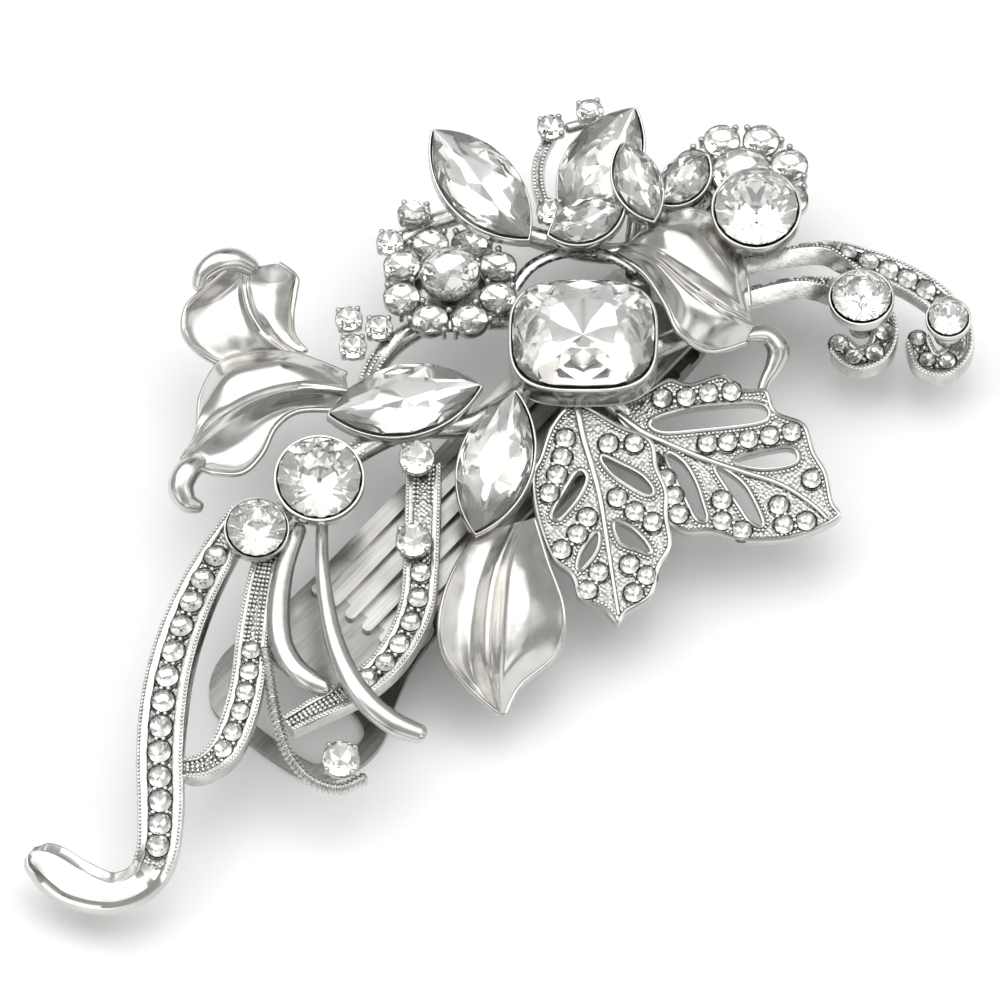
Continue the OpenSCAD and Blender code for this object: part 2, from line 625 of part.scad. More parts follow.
// Cast branches behind the settings
branch_list = [
  [[-24.4, -11.4, 10.7, 1], [-21.6, -7.6, 10.8, 1.2], [-18.4, -4.6, 11.2, 1.2],
   [-14, -0.8, 11.2, 1.2], [-9, 1.6, 11.5, 1.2], [-3, 2, 11.6, 1.2], [2, 5, 12, 1.2]],
  [[-13.4, 5, 11.4, 1], [-12.9, 8.6, 10.2, 1.1], [-10.6, 12.4, 9.8, 1.2], [-7, 15, 10, 1.2]],
  [[-10.4, 23.8, 9.8, 1], [-7.4, 25.6, 10.4, 1], [-2.8, 26.2, 12.6, 1]],
  [[-3, 15, 10, 1.1], [0.8, 15, 10.2, 1.1], [4.4, 13.4, 12, 1.1]],
  [[-0.4, 24.8, 12.4, 1], [3.6, 23.6, 11.6, 1.1], [8.4, 22.2, 11.4, 1.1],
   [12.6, 22.2, 11.2, 1.1], [17.4, 25.2, 9.4, 1.1], [22, 28, 8.3, 1.1]],
  [[9, 22.2, 11.6, 0.9], [8.9, 22.6, 13, 0.9], [8.8, 22.7, 14.3, 0.9]],
  [[13.2, 22.6, 11.8, 0.8], [13.5, 24.6, 13.4, 0.8], [13.6, 25.6, 15.6, 0.8]],
  [[16.8, 25, 9.8, 0.8], [17, 26.4, 11.4, 0.8], [17.2, 27.2, 13, 0.8]],
  [[8, 22.6, 11.2, 0.9], [8.9, 26.6, 10.4, 0.9], [9.4, 30.4, 10.8, 0.9]],
  [[6.8, 36.8, 10.8, 0.6], [9, 37.4, 11, 0.6]],
  [[24, 27, 8.3, 1.1], [24.2, 23, 9, 1.1], [23.2, 18, 9.6, 1.1], [20.8, 14.4, 10.6, 1.1],
   [17, 11.4, 11.8, 1.1], [14, 9.8, 12.4, 1.1]],
  [[10, 5.6, 11.6, 1.1], [12.4, 4.6, 9.6, 1], [14.6, 2.6, 9.2, 0.9]]
];

module branch_frame() {
  color("silver") spray() casting()
    for (b = branch_list) rod(b);
}

// ---- lilies ----

module left_lily_upper() {
  color("gainsboro") spray() casting() {
    petal(left_upper_inner, left_upper_vein, left_upper_outer, -0.6, -0.7);
    rod(left_hook);
  }
}

module left_lily_lower() {
  color("gainsboro") spray() casting() {
    petal(left_lower_upper, left_lower_vein, left_lower_under, 1.8, -0.7);
    rod(left_curl);
  }
}

module right_lily() {
  color("gainsboro") spray() casting() {
    petal(right_inner, right_vein, right_outer, 1, 1.7);
    rod(right_tail);
  }
}

module lily_rim() {
  color("gainsboro") spray() band(rim_path, 1.2);
}

module lower_lily() {
  color("gainsboro") spray() petal(lower_left, lower_vein, lower_right, -1.5, 1.2);
}

module stamen_left() {
  color("gainsboro") spray() rod(stamen_left_path);
}

module stamen_right() {
  color("gainsboro") spray() rod(stamen_right_path);
}

// ---- filigree leaves ----

module leaf_plate(edge, slots, rib) {
  translate([0, 0, -leaf_t]) linear_extrude(leaf_t) difference() {
    polygon(smooth_loop(edge));
    for (s = slots) polygon(smooth_loop(s));
  }
  for (i = [0:len(rib) - 2])
    leaf_rib_piece(rib[i], rib[i + 1]);
}

module leaf_rib_piece(a, b) {
  d = b - a;
  translate([a[0], a[1], -0.2])
    rotate([0, 0, atan2(d[1], d[0])])
      translate([0, -0.3, 0]) cube([norm(d) + 0.1, 0.6, 0.6]);
}

module large_leaf() {
  color("silver") spray() set_at(large_leaf_at, leaf_lean)
    leaf_plate(large_leaf_edge, large_leaf_slots, large_leaf_rib);
}

module large_leaf_crystals() {
  color("lightcyan") spray() set_at(large_leaf_at, leaf_lean)
    for (p = large_leaf_stones) translate(p) pave(pave_r * 0.95);
}

module small_leaf() {
  color("silver") spray() set_at(small_leaf_at, leaf_lean)
    leaf_plate(small_leaf_edge, small_leaf_slots, small_leaf_rib);
}

module small_leaf_crystals() {
  color("lightcyan") spray() set_at(small_leaf_at, leaf_lean)
    for (p = small_leaf_stones) translate(p) pave(pave_r * 0.95);
}

// ---- pave scrolls ----

module long_scroll() {
  color("silver") spray() band(long_path, scroll_t);
}

module long_scroll_crystals() {
  color("lightcyan") spray() row_on_band(long_path, long_row);
}

module short_scroll() {
  color("silver") spray() band(short_path, scroll_t);
}

module short_scroll_crystals() {
  color("lightcyan") spray() row_on_band(short_path, short_row);
}

module inner_scroll() {
  color("silver") spray() band(inner_path, scroll_t);
}

module inner_scroll_crystals() {
  color("lightcyan") spray() row_on_band(inner_path, inner_row);
}

module upper_right_scroll() {
  color("silver") spray() band(upper_right_path, scroll_t);
}

module upper_right_crystals() {
  color("lightcyan") spray() {
    row_on_band(upper_right_path, upper_right_edge_row);
    row_on_band(upper_right_path, upper_right_flat_row);
    row_on_band(upper_right_path, upper_right_curl_row);
  }
}

module lower_right_scroll() {
  color("silver") spray() band(lower_right_path, scroll_t);
}

module lower_right_crystals() {
  color("lightcyan") spray() {
    row_on_band(lower_right_path, lower_right_edge_row);
    row_on_band(lower_right_path, lower_right_curl_row);
  }
}

module milgrain_curl() {
  color("silver") spray() rod(curl_path);
}

// ---- flowers and prong-set crystals ----

module accent_cups() {
  color("silver") spray() prong_cups(accent_list);
}

module accent_crystals() {
  color("lightcyan") spray() prong_crystals(accent_list);
}

module cluster_cups() {
  color("silver") spray() prong_cups(cluster_list);
}

module cluster_crystals() {
  color("lightcyan") spray() prong_crystals(cluster_list);
}

module bud_stem() {
  color("silver") spray() {
    rod(bud_stem_path);
    prong_cups(bud_list);
  }
}

module bud_crystals() {
  color("lightcyan") spray() prong_crystals(bud_list);
}

flower_ring_r = 5.2;
flower_lean = -8;
flower_rise = 1.8;
petal_count = 8;

// Disc with a low cup for each petal crystal and a raised cup in the middle
module flower_setting() {
  translate([0, 0, -2.3]) cylinder(r = flower_ring_r - 0.3, h = 0.9);
  for (i = [0:petal_count - 1])
    rotate([0, 0, 22.5 + 45 * i]) translate([flower_ring_r, 0, 0]) cup(flower_r, 1.8, 0.25);
  translate([0, 0, -1.5]) cylinder(r = 1.8, h = 1.2);
  translate([0, 0, flower_rise]) cup(medium_r - 0.05, 2.4, 0.35);
}

module flower_petal_crystals() {
  for (i = [0:petal_count - 1])
    rotate([0, 0, 22.5 + 45 * i]) translate([flower_ring_r, 0, 0]) brilliant(flower_r);
}

module left_flower() {
  color("silver") spray() {
    set_at(left_flower_at, flower_lean) flower_setting();
    prong_cups(flower_side_list);
  }
}

module left_flower_crystals() {
  color("lightcyan") spray() {
    set_at(left_flower_at, flower_lean) flower_petal_crystals();
    prong_crystals(flower_side_list);
  }
}

module left_flower_centre() {
  color("lightcyan") spray() set_at(left_flower_at, flower_lean)
    translate([0, 0, flower_rise]) brilliant(medium_r - 0.05);
}

module right_flower() {
  color("silver") spray() set_at(right_flower_at, 0) flower_setting();
}

module right_flower_crystals() {
  color("lightcyan") spray() set_at(right_flower_at, 0) flower_petal_crystals();
}

module right_flower_centre() {
  color("lightcyan") spray() set_at(right_flower_at, 0)
    translate([0, 0, flower_rise]) brilliant(medium_r - 0.05);
}

// ---- bezel-set crystals ----

module front_cup() {
  color("silver") spray() {
    set_at(front_at, 6) cup(round_r, 3.4);
    translate([front_at[0] + 0.3, front_at[1] - 1, 9.8]) cylinder(r = 1, h = 4.6);
  }
}

module front_crystal() {
  color("lightcyan") spray() set_at(front_at, 6) brilliant(round_r);
}

module tall_cup() {
  color("silver") spray() {
    set_at(tall_cup_at, 0) cup(medium_r, 2.6);
    translate([tall_cup_at[0], tall_cup_at[1], 7]) cylinder(r = 1.25, h = tall_cup_at[2] - 9.2);
  }
}

module tall_cup_crystal() {
  color("lightcyan") spray() set_at(tall_cup_at, 0) brilliant(medium_r);
}

module ringed_cup() {
  color("silver") spray() {
    set_at(ringed_cup_at, 4) cup(1.9, 1.8, 0.35);
    translate([ringed_cup_at[0], ringed_cup_at[1], 7]) cylinder(r = 1.4, h = 3);
  }
}

module ringed_cup_crystal() {
  color("lightcyan") spray() set_at(ringed_cup_at, 4) brilliant(1.9);
}

module centre_bezel() {
  color("silver") spray() translate(centre_at)
    fancy_cup(cushion(cushion_l, cushion_w),
      cushion(cushion_l + 2 * bezel_wall, cushion_w + 2 * bezel_wall), 3.4, 0.6);
}

module centre_crystal() {
  color("lightcyan") spray() translate(centre_at) fancy(cushion(cushion_l, cushion_w), 2.2, 2.6);
}

module left_navette_bezel() {
  spray() set_at(left_navette_at, lean, 11) navette_cup(navette_l, navette_w);
}

module left_navette() {
  spray() set_at(left_navette_at, lean, 11) navette_crystal(navette_l, navette_w);
}

module lower_navette_bezel() {
  spray() set_at(lower_navette_at, lean, 75) navette_cup(navette_l, navette_w);
}

module lower_navette() {
  spray() set_at(lower_navette_at, lean, 75) navette_crystal(navette_l, navette_w);
}

module top_navette_bezels() {
  spray() for (n = top_navette_list) set_at(n[0], lean, n[1]) navette_cup(n[2], n[3]);
}

module top_navettes() {
  spray() for (n = top_navette_list) set_at(n[0], lean, n[1]) navette_crystal(n[2], n[3]);
}

module large_round_bezel() {
  color("silver") spray() set_at(large_round_at) cup(round_r, 3.6);
}

module large_round() {
  color("lightcyan") spray() set_at(large_round_at) brilliant(round_r);
}

module medium_round_bezel() {
  color("silver") spray() set_at(medium_round_at) cup(medium_r, 2.6, 0.35);
}

module medium_round() {
  color("lightcyan") spray() set_at(medium_round_at) brilliant(medium_r);
}

upper_jaw();
lower_jaw();
hinge_pin();
torsion_spring();
solder_posts();
branch_frame();
left_lily_upper();
left_lily_lower();
right_lily();
lily_rim();
lower_lily();
stamen_left();
stamen_right();
large_leaf();
large_leaf_crystals();
small_leaf();
small_leaf_crystals();
long_scroll();
long_scroll_crystals();
short_scroll();
short_scroll_crystals();
inner_scroll();
inner_scroll_crystals();
upper_right_scroll();
upper_right_crystals();
lower_right_scroll();
lower_right_crystals();
milgrain_curl();
accent_cups();
accent_crystals();
left_flower();
left_flower_crystals();
left_flower_centre();
cluster_cups();
cluster_crystals();
bud_stem();
bud_crystals();
right_flower();
right_flower_crystals();
right_flower_centre();
front_cup();
front_crystal();
tall_cup();
tall_cup_crystal();
ringed_cup();
ringed_cup_crystal();
centre_bezel();
centre_crystal();
left_navette_bezel();
left_navette();
lower_navette_bezel();
lower_navette();
top_navette_bezels();
top_navettes();
large_round_bezel();
large_round();
medium_round_bezel();
medium_round();
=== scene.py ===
"""Looks of the floral rhinestone hair clip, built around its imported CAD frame.

The ornament is laid out in its own frame, in millimetres, turned SPRAY_TURN degrees clockwise
from the clip's. Every piece is made there and then put into the clip's frame, in metres.
"""

import bpy
import bmesh
import math
import random
import numpy as np
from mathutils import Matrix, Vector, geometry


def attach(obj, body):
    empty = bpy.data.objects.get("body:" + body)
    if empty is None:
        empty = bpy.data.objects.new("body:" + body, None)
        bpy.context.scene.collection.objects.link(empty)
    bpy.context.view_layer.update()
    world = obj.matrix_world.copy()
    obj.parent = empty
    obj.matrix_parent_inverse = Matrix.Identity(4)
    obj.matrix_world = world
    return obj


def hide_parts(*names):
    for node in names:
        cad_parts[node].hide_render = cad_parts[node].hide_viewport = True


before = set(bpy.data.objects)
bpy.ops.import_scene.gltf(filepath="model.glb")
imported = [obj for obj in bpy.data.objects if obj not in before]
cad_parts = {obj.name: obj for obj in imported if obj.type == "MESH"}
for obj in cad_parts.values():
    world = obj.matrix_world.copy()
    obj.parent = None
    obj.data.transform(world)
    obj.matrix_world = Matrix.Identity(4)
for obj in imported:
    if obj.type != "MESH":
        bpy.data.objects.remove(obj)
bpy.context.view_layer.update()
chance = random.Random(7)

SPRAY_TURN = 50
TURN_COS, TURN_SIN = math.cos(math.radians(SPRAY_TURN)), math.sin(math.radians(SPRAY_TURN))
HOLDER = "spray_and_upper_jaw"
UP = (0, 0, 1)
# A face's number in its piece's material list: the main metal or glass, the dark metal painted
# for shade in recesses or the foil, the milgrained ground and the polished parts of a casting
MAIN, DARK, GROUND, BRIGHT = range(4)
# Depth of a pavilion over its stone's radius: rows and leaves, claw-set stones, bezel-set stones
PAVE_DEEP, CLAW_DEEP, CENTRE_DEEP, BEZEL_DEEP = 0.24, 0.3, 0.34, 0.84

# ---- control points, as in the CAD source ----
lean = 12
leaf_lean = 10
petal_t = 1.1
leaf_t = 1.0
scroll_t = 1.8
cushion_l = 14
cushion_w = 12
navette_l = 15
navette_w = 7
round_r = 4.1
medium_r = 2.9
flower_r = 1.7
pave_r = 1
# Crystals with a bezel or cup of their own: place, lean, turn
centre_at = [8.3, 9.9, 16]
left_navette_at = [-9.5, 3.2, 14.5]
lower_navette_at = [-0.5, -3.7, 14]
large_round_at = [-18, -6.4, 15.5]
medium_round_at = [-24.2, -11.3, 14]
front_at = [25.6, 23.6, 17.5]
tall_cup_at = [36.1, 15.4, 14]
ringed_cup_at = [44.8, 14.4, 11.5]
left_flower_at = [-5, 17.9, 12.8]
right_flower_at = [24.2, 30.2, 11.4]
large_leaf_at = [11.8, 4, 10.4]
small_leaf_at = [7.7, 3.8, 11.9]

# Top navettes: [place, turn, length, width]
top_navette_list = [
  [[-1.9, 27.2, 16.1], -50, 14.5, 7],
  [[10, 30.9, 13.5], 60, 13.6, 7],
  [[13.8, 26.5, 17.8], -68, 8.4, 4.3],
  [[8.6, 22.8, 16.4], 20, 7.6, 4.2],
  [[18.4, 28.5, 14.9], 48, 6.4, 4]
]

# Small prong-set crystals: [place, lean, radius]
accent_list = [
  [[-8.3, -2.7, 13.2], 12, 1.7],
  [[-8.6, -12, 12.9], 12, 1.7],
  [[-15.8, -35.2, 9.6], 12, 1.8]
]
bud_list = [
  [[5.1, 35.9, 12.6], 8, 1.3],
  [[9, 37.8, 12.6], 0, 1.3],
  [[5, 25.4, 13.9], 10, 1.3]
]
cluster_list = [
  [[-15.1, 14, 12], 5, 1.3],
  [[-12.1, 13, 12], 5, 1.3],
  [[-14.7, 10.8, 12], 5, 1.3]
]
flower_side_list = [
  [[-11, 22.9, 12], 5, 1.3],
  [[-8.6, 26.4, 12], -22, 1.6]
]

# Scroll bands: [x, y, top z, width, roll]
long_path = [
  [-25.6, -8.4, 12, 3, 0], [-28.6, -14, 12, 3.8, 0], [-30.9, -19.2, 12, 4.2, 5],
  [-32.6, -24.6, 11.5, 4.5, 8], [-33.5, -30, 11, 4.7, 8], [-33.8, -35.2, 10, 4.7, 6],
  [-33.7, -40.2, 9, 4.6, 4], [-34, -44.6, 8, 4.2, 0], [-35.4, -47.2, 6.8, 4, 0],
  [-38.5, -48, 5.6, 4.4, 0], [-42, -46.6, 5, 5.2, 0], [-44.6, -45, 5.7, 4.8, 0],
  [-45.9, -44.4, 6.2, 3.4, 0], [-46.5, -44, 6.5, 1.4, 0]
]
short_path = [
  [-23.2, -13, 11.8, 2.6, 0], [-24, -17.6, 11.8, 3, 0], [-24.6, -22.4, 11.6, 3.3, 0],
  [-25, -26.7, 11.4, 3.4, 0], [-25.8, -30.6, 11, 3.4, 0], [-27.3, -34.1, 10.2, 3.3, 0],
  [-29.4, -35.8, 9.6, 2.8, 0], [-31.8, -36, 9.4, 2.2, 0]
]
inner_path = [
  [-7.6, -2.6, 11.5, 3.6, 0], [-7.7, -8.8, 11.5, 3.6, 0], [-7.9, -14.8, 11.2, 3.6, 0],
  [-8.3, -18.4, 11, 3.6, 0], [-9.5, -21.8, 10.9, 3.4, 0], [-11.2, -24.6, 10.8, 3.2, 0],
  [-13.4, -26.9, 10.8, 3, 0], [-16, -28.8, 10.9, 2.8, 0], [-18.8, -30.5, 11, 2.4, 0],
  [-21, -31.9, 11, 2, 0]
]
upper_right_path = [
  [24.2, 21.6, 11, 2.6, -60], [29, 22.6, 11, 2.6, -60], [33, 23.2, 10.6, 2.8, -45],
  [36.6, 21.9, 10, 3, -8], [39.2, 20.9, 9.6, 3, 4], [41.6, 19.8, 9.1, 3, 6],
  [43.9, 18.2, 8.5, 3, 6], [45.6, 15.8, 8, 3, 4], [45.8, 13.4, 7.4, 3, 0],
  [44.4, 11.8, 7, 3, 0], [42.6, 12.3, 7, 3, 0], [41.8, 14.6, 7, 2.6, 0]
]
lower_right_path = [
  [24.2, 17.6, 10.8, 2.4, -60], [27.5, 18.6, 10.8, 2.4, -60], [30.5, 19.2, 10.6, 2.6, -55],
  [33.8, 19.2, 9.6, 2.8, -30], [36.6, 18, 9, 2.8, 0], [38.4, 15.6, 8.4, 2.8, 0],
  [37.8, 12.9, 7.8, 2.8, 0], [35.6, 12.2, 7.4, 2.8, 0], [33.9, 13.9, 7.2, 2.6, 0]
]

# Crystals along each scroll: [first, last, count, radius], in control points from 0
long_row = [0.9, 6.9, 13, 1.2]
short_row = [2.35, 5.1, 6, 0.98]
inner_row = [2, 5.9, 6, 1.05]
upper_right_flat_row = [3.1, 6.2, 5, 1.05]
upper_right_edge_row = [0.8, 2.5, 4, 0.9]
upper_right_curl_row = [8.8, 11, 3, 0.85]
lower_right_edge_row = [0.5, 2.9, 4, 0.9]
lower_right_curl_row = [5.3, 8, 4, 0.95]

# Round cast rods: [x, y, z, radius]
stamen_left_path = [
  [-20.1, -10.2, 12, 0.9], [-21.4, -14.7, 12.2, 1], [-22, -19.2, 12.2, 1.15],
  [-21.8, -23.1, 12, 1.2], [-20.6, -25.8, 11.8, 1.2], [-18.9, -27.4, 11.6, 1.15],
  [-17.4, -28.1, 11.4, 0.9]
]
stamen_right_path = [
  [-17.7, -9.4, 12.4, 0.6], [-17.7, -14.8, 13.2, 0.7], [-17.2, -20, 13.4, 0.85],
  [-16.3, -24.4, 13.4, 1], [-14.8, -28.2, 13.2, 1.15], [-12.8, -30.9, 12.7, 1.2],
  [-10.4, -32.6, 12, 1.2], [-7.9, -33.4, 11.4, 1]
]
curl_path = [
  [-23.4, -23.8, 11.4, 0.5], [-22.8, -27.6, 11.2, 0.5], [-22.2, -31.2, 10.4, 0.55],
  [-21, -34.5, 9.4, 0.55], [-18.9, -36.9, 8.6, 0.55], [-16, -37.8, 8.2, 0.55],
  [-13.6, -36.6, 8, 0.55]
]
bud_stem_path = [
  [5.1, 35.7, 10.8, 0.7], [4, 33, 11, 0.7], [3.8, 30, 11.4, 0.7], [4.4, 27, 12, 0.7],
  [5.2, 25, 12.4, 0.7]
]
rim_path = [
  [1.4, 17, 13, 1.1, 0], [3, 19.2, 13.4, 1.2, 0], [5.4, 20.4, 13.8, 1.2, 0],
  [8.2, 20.6, 14.2, 1.2, 0], [11.2, 19.7, 14.6, 1.1, 0], [13.6, 18, 14.8, 1, 0]
]

# Lily petals: two edges and a vein, each from the base to the tip
left_upper_outer = [[-21.6, 8.2, 11.2], [-27.6, 9.4, 10.8], [-31.2, 11.2, 12.8], [-31.4, 14, 14],
  [-29.4, 15.8, 15.2], [-27.4, 17.4, 16]]
left_upper_vein = [[-20.6, 9.2, 12.8], [-23.2, 11.2, 13.2], [-24.8, 14, 13], [-25.4, 16.5, 13.2],
  [-25.4, 17.8, 13.8], [-25, 18.5, 14.4]]
left_upper_inner = [[-19.4, 10.2, 12.4], [-20.6, 11.6, 13], [-20.8, 13.4, 14], [-20.5, 15.6, 14.5],
  [-20.4, 17.2, 15], [-22, 18.7, 15]]
left_hook = [
  [-24.8, 18.4, 14.6, 1], [-26.4, 18.7, 15.6, 1.2], [-28.2, 18.2, 16, 1.2],
  [-29.6, 17.2, 15.6, 1], [-30.1, 16, 14.8, 0.7]
]
left_lower_upper = [[-15.4, 7.2, 13], [-20, 9, 13.5], [-23.8, 9.6, 13], [-27.7, 8.9, 12.5],
  [-29.8, 6, 10.8], [-30.2, 2, 10.2], [-31.4, -0.4, 10.2]]
left_lower_vein = [[-15.2, 4, 15], [-19.7, 3.6, 16], [-23.8, 2.8, 15.6], [-27, 1.5, 14.6],
  [-29.4, 0.2, 13], [-30.8, -1, 12], [-31.9, -1.7, 11.2]]
left_lower_under = [[-16.6, 2.8, 13.4], [-20.2, 2.5, 13.6], [-22.4, 0.9, 13.2], [-23.8, -1.9, 12.6],
  [-25.7, -3.9, 12.5], [-28.3, -3.9, 12.4], [-30, -3, 11.8]]
left_curl = [
  [-30, -2.2, 11.4, 1], [-31.2, -3.5, 11.6, 1.3], [-31.8, -5, 11.2, 1.3],
  [-31.2, -6.3, 10.6, 1.1], [-30, -6.7, 10.2, 0.7]
]
right_outer = [[13.2, 21.6, 14.6], [16, 23.7, 15.2], [20, 24.9, 15], [23.2, 22.8, 13.3],
  [24.6, 18.8, 12.5], [24.9, 15.6, 12]]
right_vein = [[12.4, 21, 14.4], [15.4, 18.7, 16.4], [18.4, 15.6, 17.3], [21.1, 13.6, 17],
  [23.5, 12.5, 15.8], [25.3, 12, 14.2]]
right_inner = [[11.4, 20.4, 14.2], [14.3, 17.6, 15.2], [16.4, 13.8, 15.8], [18, 10.4, 15.4],
  [21, 9.3, 13.8], [24.6, 10.9, 12.8]]
right_tail = [
  [24.6, 11.6, 12.8, 0.7], [26.6, 12.2, 11.8, 1.1], [27.8, 11.2, 10.8, 1.3],
  [27.4, 9.6, 10.2, 1], [26.6, 8.2, 9.8, 0.7], [26, 6.6, 9.2, 0.6]
]
lower_left = [[-2.2, -10.2, 11], [-4.5, -14.8, 12], [-5.9, -19.6, 11.5], [-5.6, -23.2, 9.8],
  [-3.2, -25.8, 7.8], [-0.1, -27.9, 6]]
lower_vein = [[2, -9.6, 12.2], [0.2, -15, 12.8], [-0.5, -19.6, 12], [-0.7, -23.6, 10.6],
  [-0.4, -26.2, 8.6], [0.2, -28.1, 6]]
lower_right = [[3.4, -8.4, 11], [4.7, -13, 10.5], [6.3, -18, 9.5], [5.7, -21.8, 7.8],
  [2, -25, 6.6], [0.5, -27.9, 6]]

# Filigree leaves, flat, with the stalk at the origin
large_leaf_edge = [
  [-0.4, 0.6], [2.6, 2.2], [5, 3.5], [7.2, 3], [10.4, 3.9], [12.4, 2.4], [14.8, 2.3], [15.8, 0],
  [18.6, -1.3], [19.6, -4.2], [20.8, -6.4], [21.4, -9.4], [22.2, -10.9], [20.2, -12.3],
  [16.8, -13.6], [12.4, -13.8], [9.3, -12.9], [6.6, -12.9], [4.8, -11.7], [4, -9],
  [2.7, -5.7], [1.3, -2.6]
]
large_leaf_slots = [
  [[3.4, -0.9], [7.2, 0.3], [12.2, 0.7], [14.4, 0.5], [14.9, -0.4], [13.6, -1.1], [8.2, -1.7],
   [4.4, -1.9]],
  [[11.7, -5.1], [14.2, -4.3], [17.1, -3.9], [17.8, -4.8], [17, -5.5], [14.2, -5.8]],
  [[4.9, -4.4], [6.4, -5.3], [7.6, -7.4], [8.3, -9.6], [8.7, -11.4], [7.9, -11.3], [7, -9.4],
   [6, -7.2]],
  [[9.8, -5.7], [12.2, -7.4], [13.5, -9.6], [14.3, -11.9], [13.2, -11.5], [12.2, -9.9], [11, -8]]
]
large_leaf_rib = [[0, 0], [2.2, -1.9], [5.2, -3.4], [8.4, -4.8], [12.2, -6.2], [16.2, -7.6],
  [19.2, -9.6], [20.8, -11.2]]
large_leaf_stones = [
  [4.4, 1.4], [6.8, 1.5], [9, 1.9], [11.3, 2], [8.9, -3.3], [10.9, -3.2], [13, -2.9], [15.1, -2.6],
  [17.3, -2.2], [19.3, -7.1], [10.3, -9.4], [10.3, -11.7], [12.3, -12.7], [16, -9.9], [16.5, -12],
  [18.7, -11.6], [3.5, -5.3], [4.7, -7.1], [5.5, -9], [6, -11]
]
small_leaf_edge = [
  [-0.9, 0.2], [-2.7, -2.1], [-3.8, -5.4], [-4.6, -7.5], [-4.2, -11.5], [-2.7, -16], [-0.6, -18],
  [0.2, -20.4], [2.6, -21.6], [4, -23], [5, -21.8], [7.4, -20.2], [8.2, -17.2], [9.4, -14.8],
  [9, -11.6], [9, -9], [8, -6.4], [7.4, -3.6], [4.2, -1.9], [0.9, 0.2]
]
small_leaf_slots = [
  [[0.1, -6.9], [0.8, -7.5], [0.3, -9], [-0.7, -10.6], [-1.9, -11.9], [-2.4, -11.4], [-1.2, -9]],
  [[2, -13.4], [1.9, -14.9], [1.1, -16.3], [0.2, -17.2], [0.4, -15.8], [1.2, -14.3]],
  [[2.5, -5.3], [4.3, -6.2], [6.3, -7.4], [7.4, -8.8], [7.1, -9.4], [5.3, -8.4], [3.4, -6.9]],
  [[3.8, -12.3], [5.3, -12.9], [6.7, -14.4], [7.2, -15.5], [6.2, -15.1], [4.4, -14.3]]
]
small_leaf_rib = [[0, 0], [0.6, -3.2], [1.5, -6.4], [2.3, -9.8], [2.9, -13.8], [3.5, -18],
  [4.1, -22]]
small_leaf_stones = [
  [-1.2, -3.4], [-1.5, -5.4], [-2, -7.3], [-2.8, -9.3], [1, -11.8], [0, -13.6], [-1.6, -15.3],
  [1, -19.5], [2.1, -17.6], [3.1, -4], [5.7, -4], [4, -9.7], [5.7, -11.2], [7.5, -12.4],
  [5.2, -16.8], [6.9, -18], [5.6, -19.8]
]

# Cast branches behind the settings: [x, y, z, radius]
branch_list = [
  [[-24.4, -11.4, 10.7, 1], [-21.6, -7.6, 10.8, 1.2], [-18.4, -4.6, 11.2, 1.2],
   [-14, -0.8, 11.2, 1.2], [-9, 1.6, 11.5, 1.2], [-3, 2, 11.6, 1.2], [2, 5, 12, 1.2]],
  [[-13.4, 5, 11.4, 1], [-12.9, 8.6, 10.2, 1.1], [-10.6, 12.4, 9.8, 1.2], [-7, 15, 10, 1.2]],
  [[-10.4, 23.8, 9.8, 1], [-7.4, 25.6, 10.4, 1], [-2.8, 26.2, 12.6, 1]],
  [[-3, 15, 10, 1.1], [0.8, 15, 10.2, 1.1], [4.4, 13.4, 12, 1.1]],
  [[-0.4, 24.8, 12.4, 1], [3.6, 23.6, 11.6, 1.1], [8.4, 22.2, 11.4, 1.1],
   [12.6, 22.2, 11.2, 1.1], [17.4, 25.2, 9.4, 1.1], [22, 28, 8.3, 1.1]],
  [[9, 22.2, 11.6, 0.9], [8.9, 22.6, 13, 0.9], [8.8, 22.7, 14.3, 0.9]],
  [[13.2, 22.6, 11.8, 0.8], [13.5, 24.6, 13.4, 0.8], [13.6, 25.6, 15.6, 0.8]],
  [[16.8, 25, 9.8, 0.8], [17, 26.4, 11.4, 0.8], [17.2, 27.2, 13, 0.8]],
  [[8, 22.6, 11.2, 0.9], [8.9, 26.6, 10.4, 0.9], [9.4, 30.4, 10.8, 0.9]],
  [[6.8, 36.8, 10.8, 0.6], [9, 37.4, 11, 0.6]],
  [[24, 27, 8.3, 1.1], [24.2, 23, 9, 1.1], [23.2, 18, 9.6, 1.1], [20.8, 14.4, 10.6, 1.1],
   [17, 11.4, 11.8, 1.1], [14, 9.8, 12.4, 1.1]],
  [[10, 5.6, 11.6, 1.1], [12.4, 4.6, 9.6, 1], [14.6, 2.6, 9.2, 0.9]]
]


# ---- curves ----


def blend4(a, b, c, d, t):
    return 0.5 * (
        2 * b + (c - a) * t + (2 * a - 5 * b + 4 * c - d) * t * t + (3 * b - a - 3 * c + d) * t**3
    )


def at(path, t):
    i = min(int(math.floor(t)), len(path) - 2)
    last = len(path) - 1
    four = [np.array(path[max(0, min(last, i + k))], float) for k in (-1, 0, 1, 2)]
    return blend4(*four, t - i)


def unit(v):
    return v / max(np.linalg.norm(v), 1e-9)


def heading(path, t):
    a, b = max(0, t - 0.05), min(len(path) - 1, t + 0.05)
    return unit(at(path, b)[:3] - at(path, a)[:3])


def side_at(path, t):
    d = heading(path, t)
    s = unit(np.cross(UP, d))
    n = np.cross(d, s)
    roll = math.radians(at(path, t)[4])
    return s * math.cos(roll) + n * math.sin(roll)


def band_frame(path, t):
    """(point, side, normal) on a band's top face."""
    s = side_at(path, t)
    return at(path, t)[:3], s, np.cross(heading(path, t), s)


def smooth_loop(points, n=3):
    p = [np.array(q, float) for q in points]
    k = len(p)
    return [
        blend4(p[i - 1], p[i], p[(i + 1) % k], p[(i + 2) % k], j / n)
        for i in range(k)
        for j in range(n)
    ]


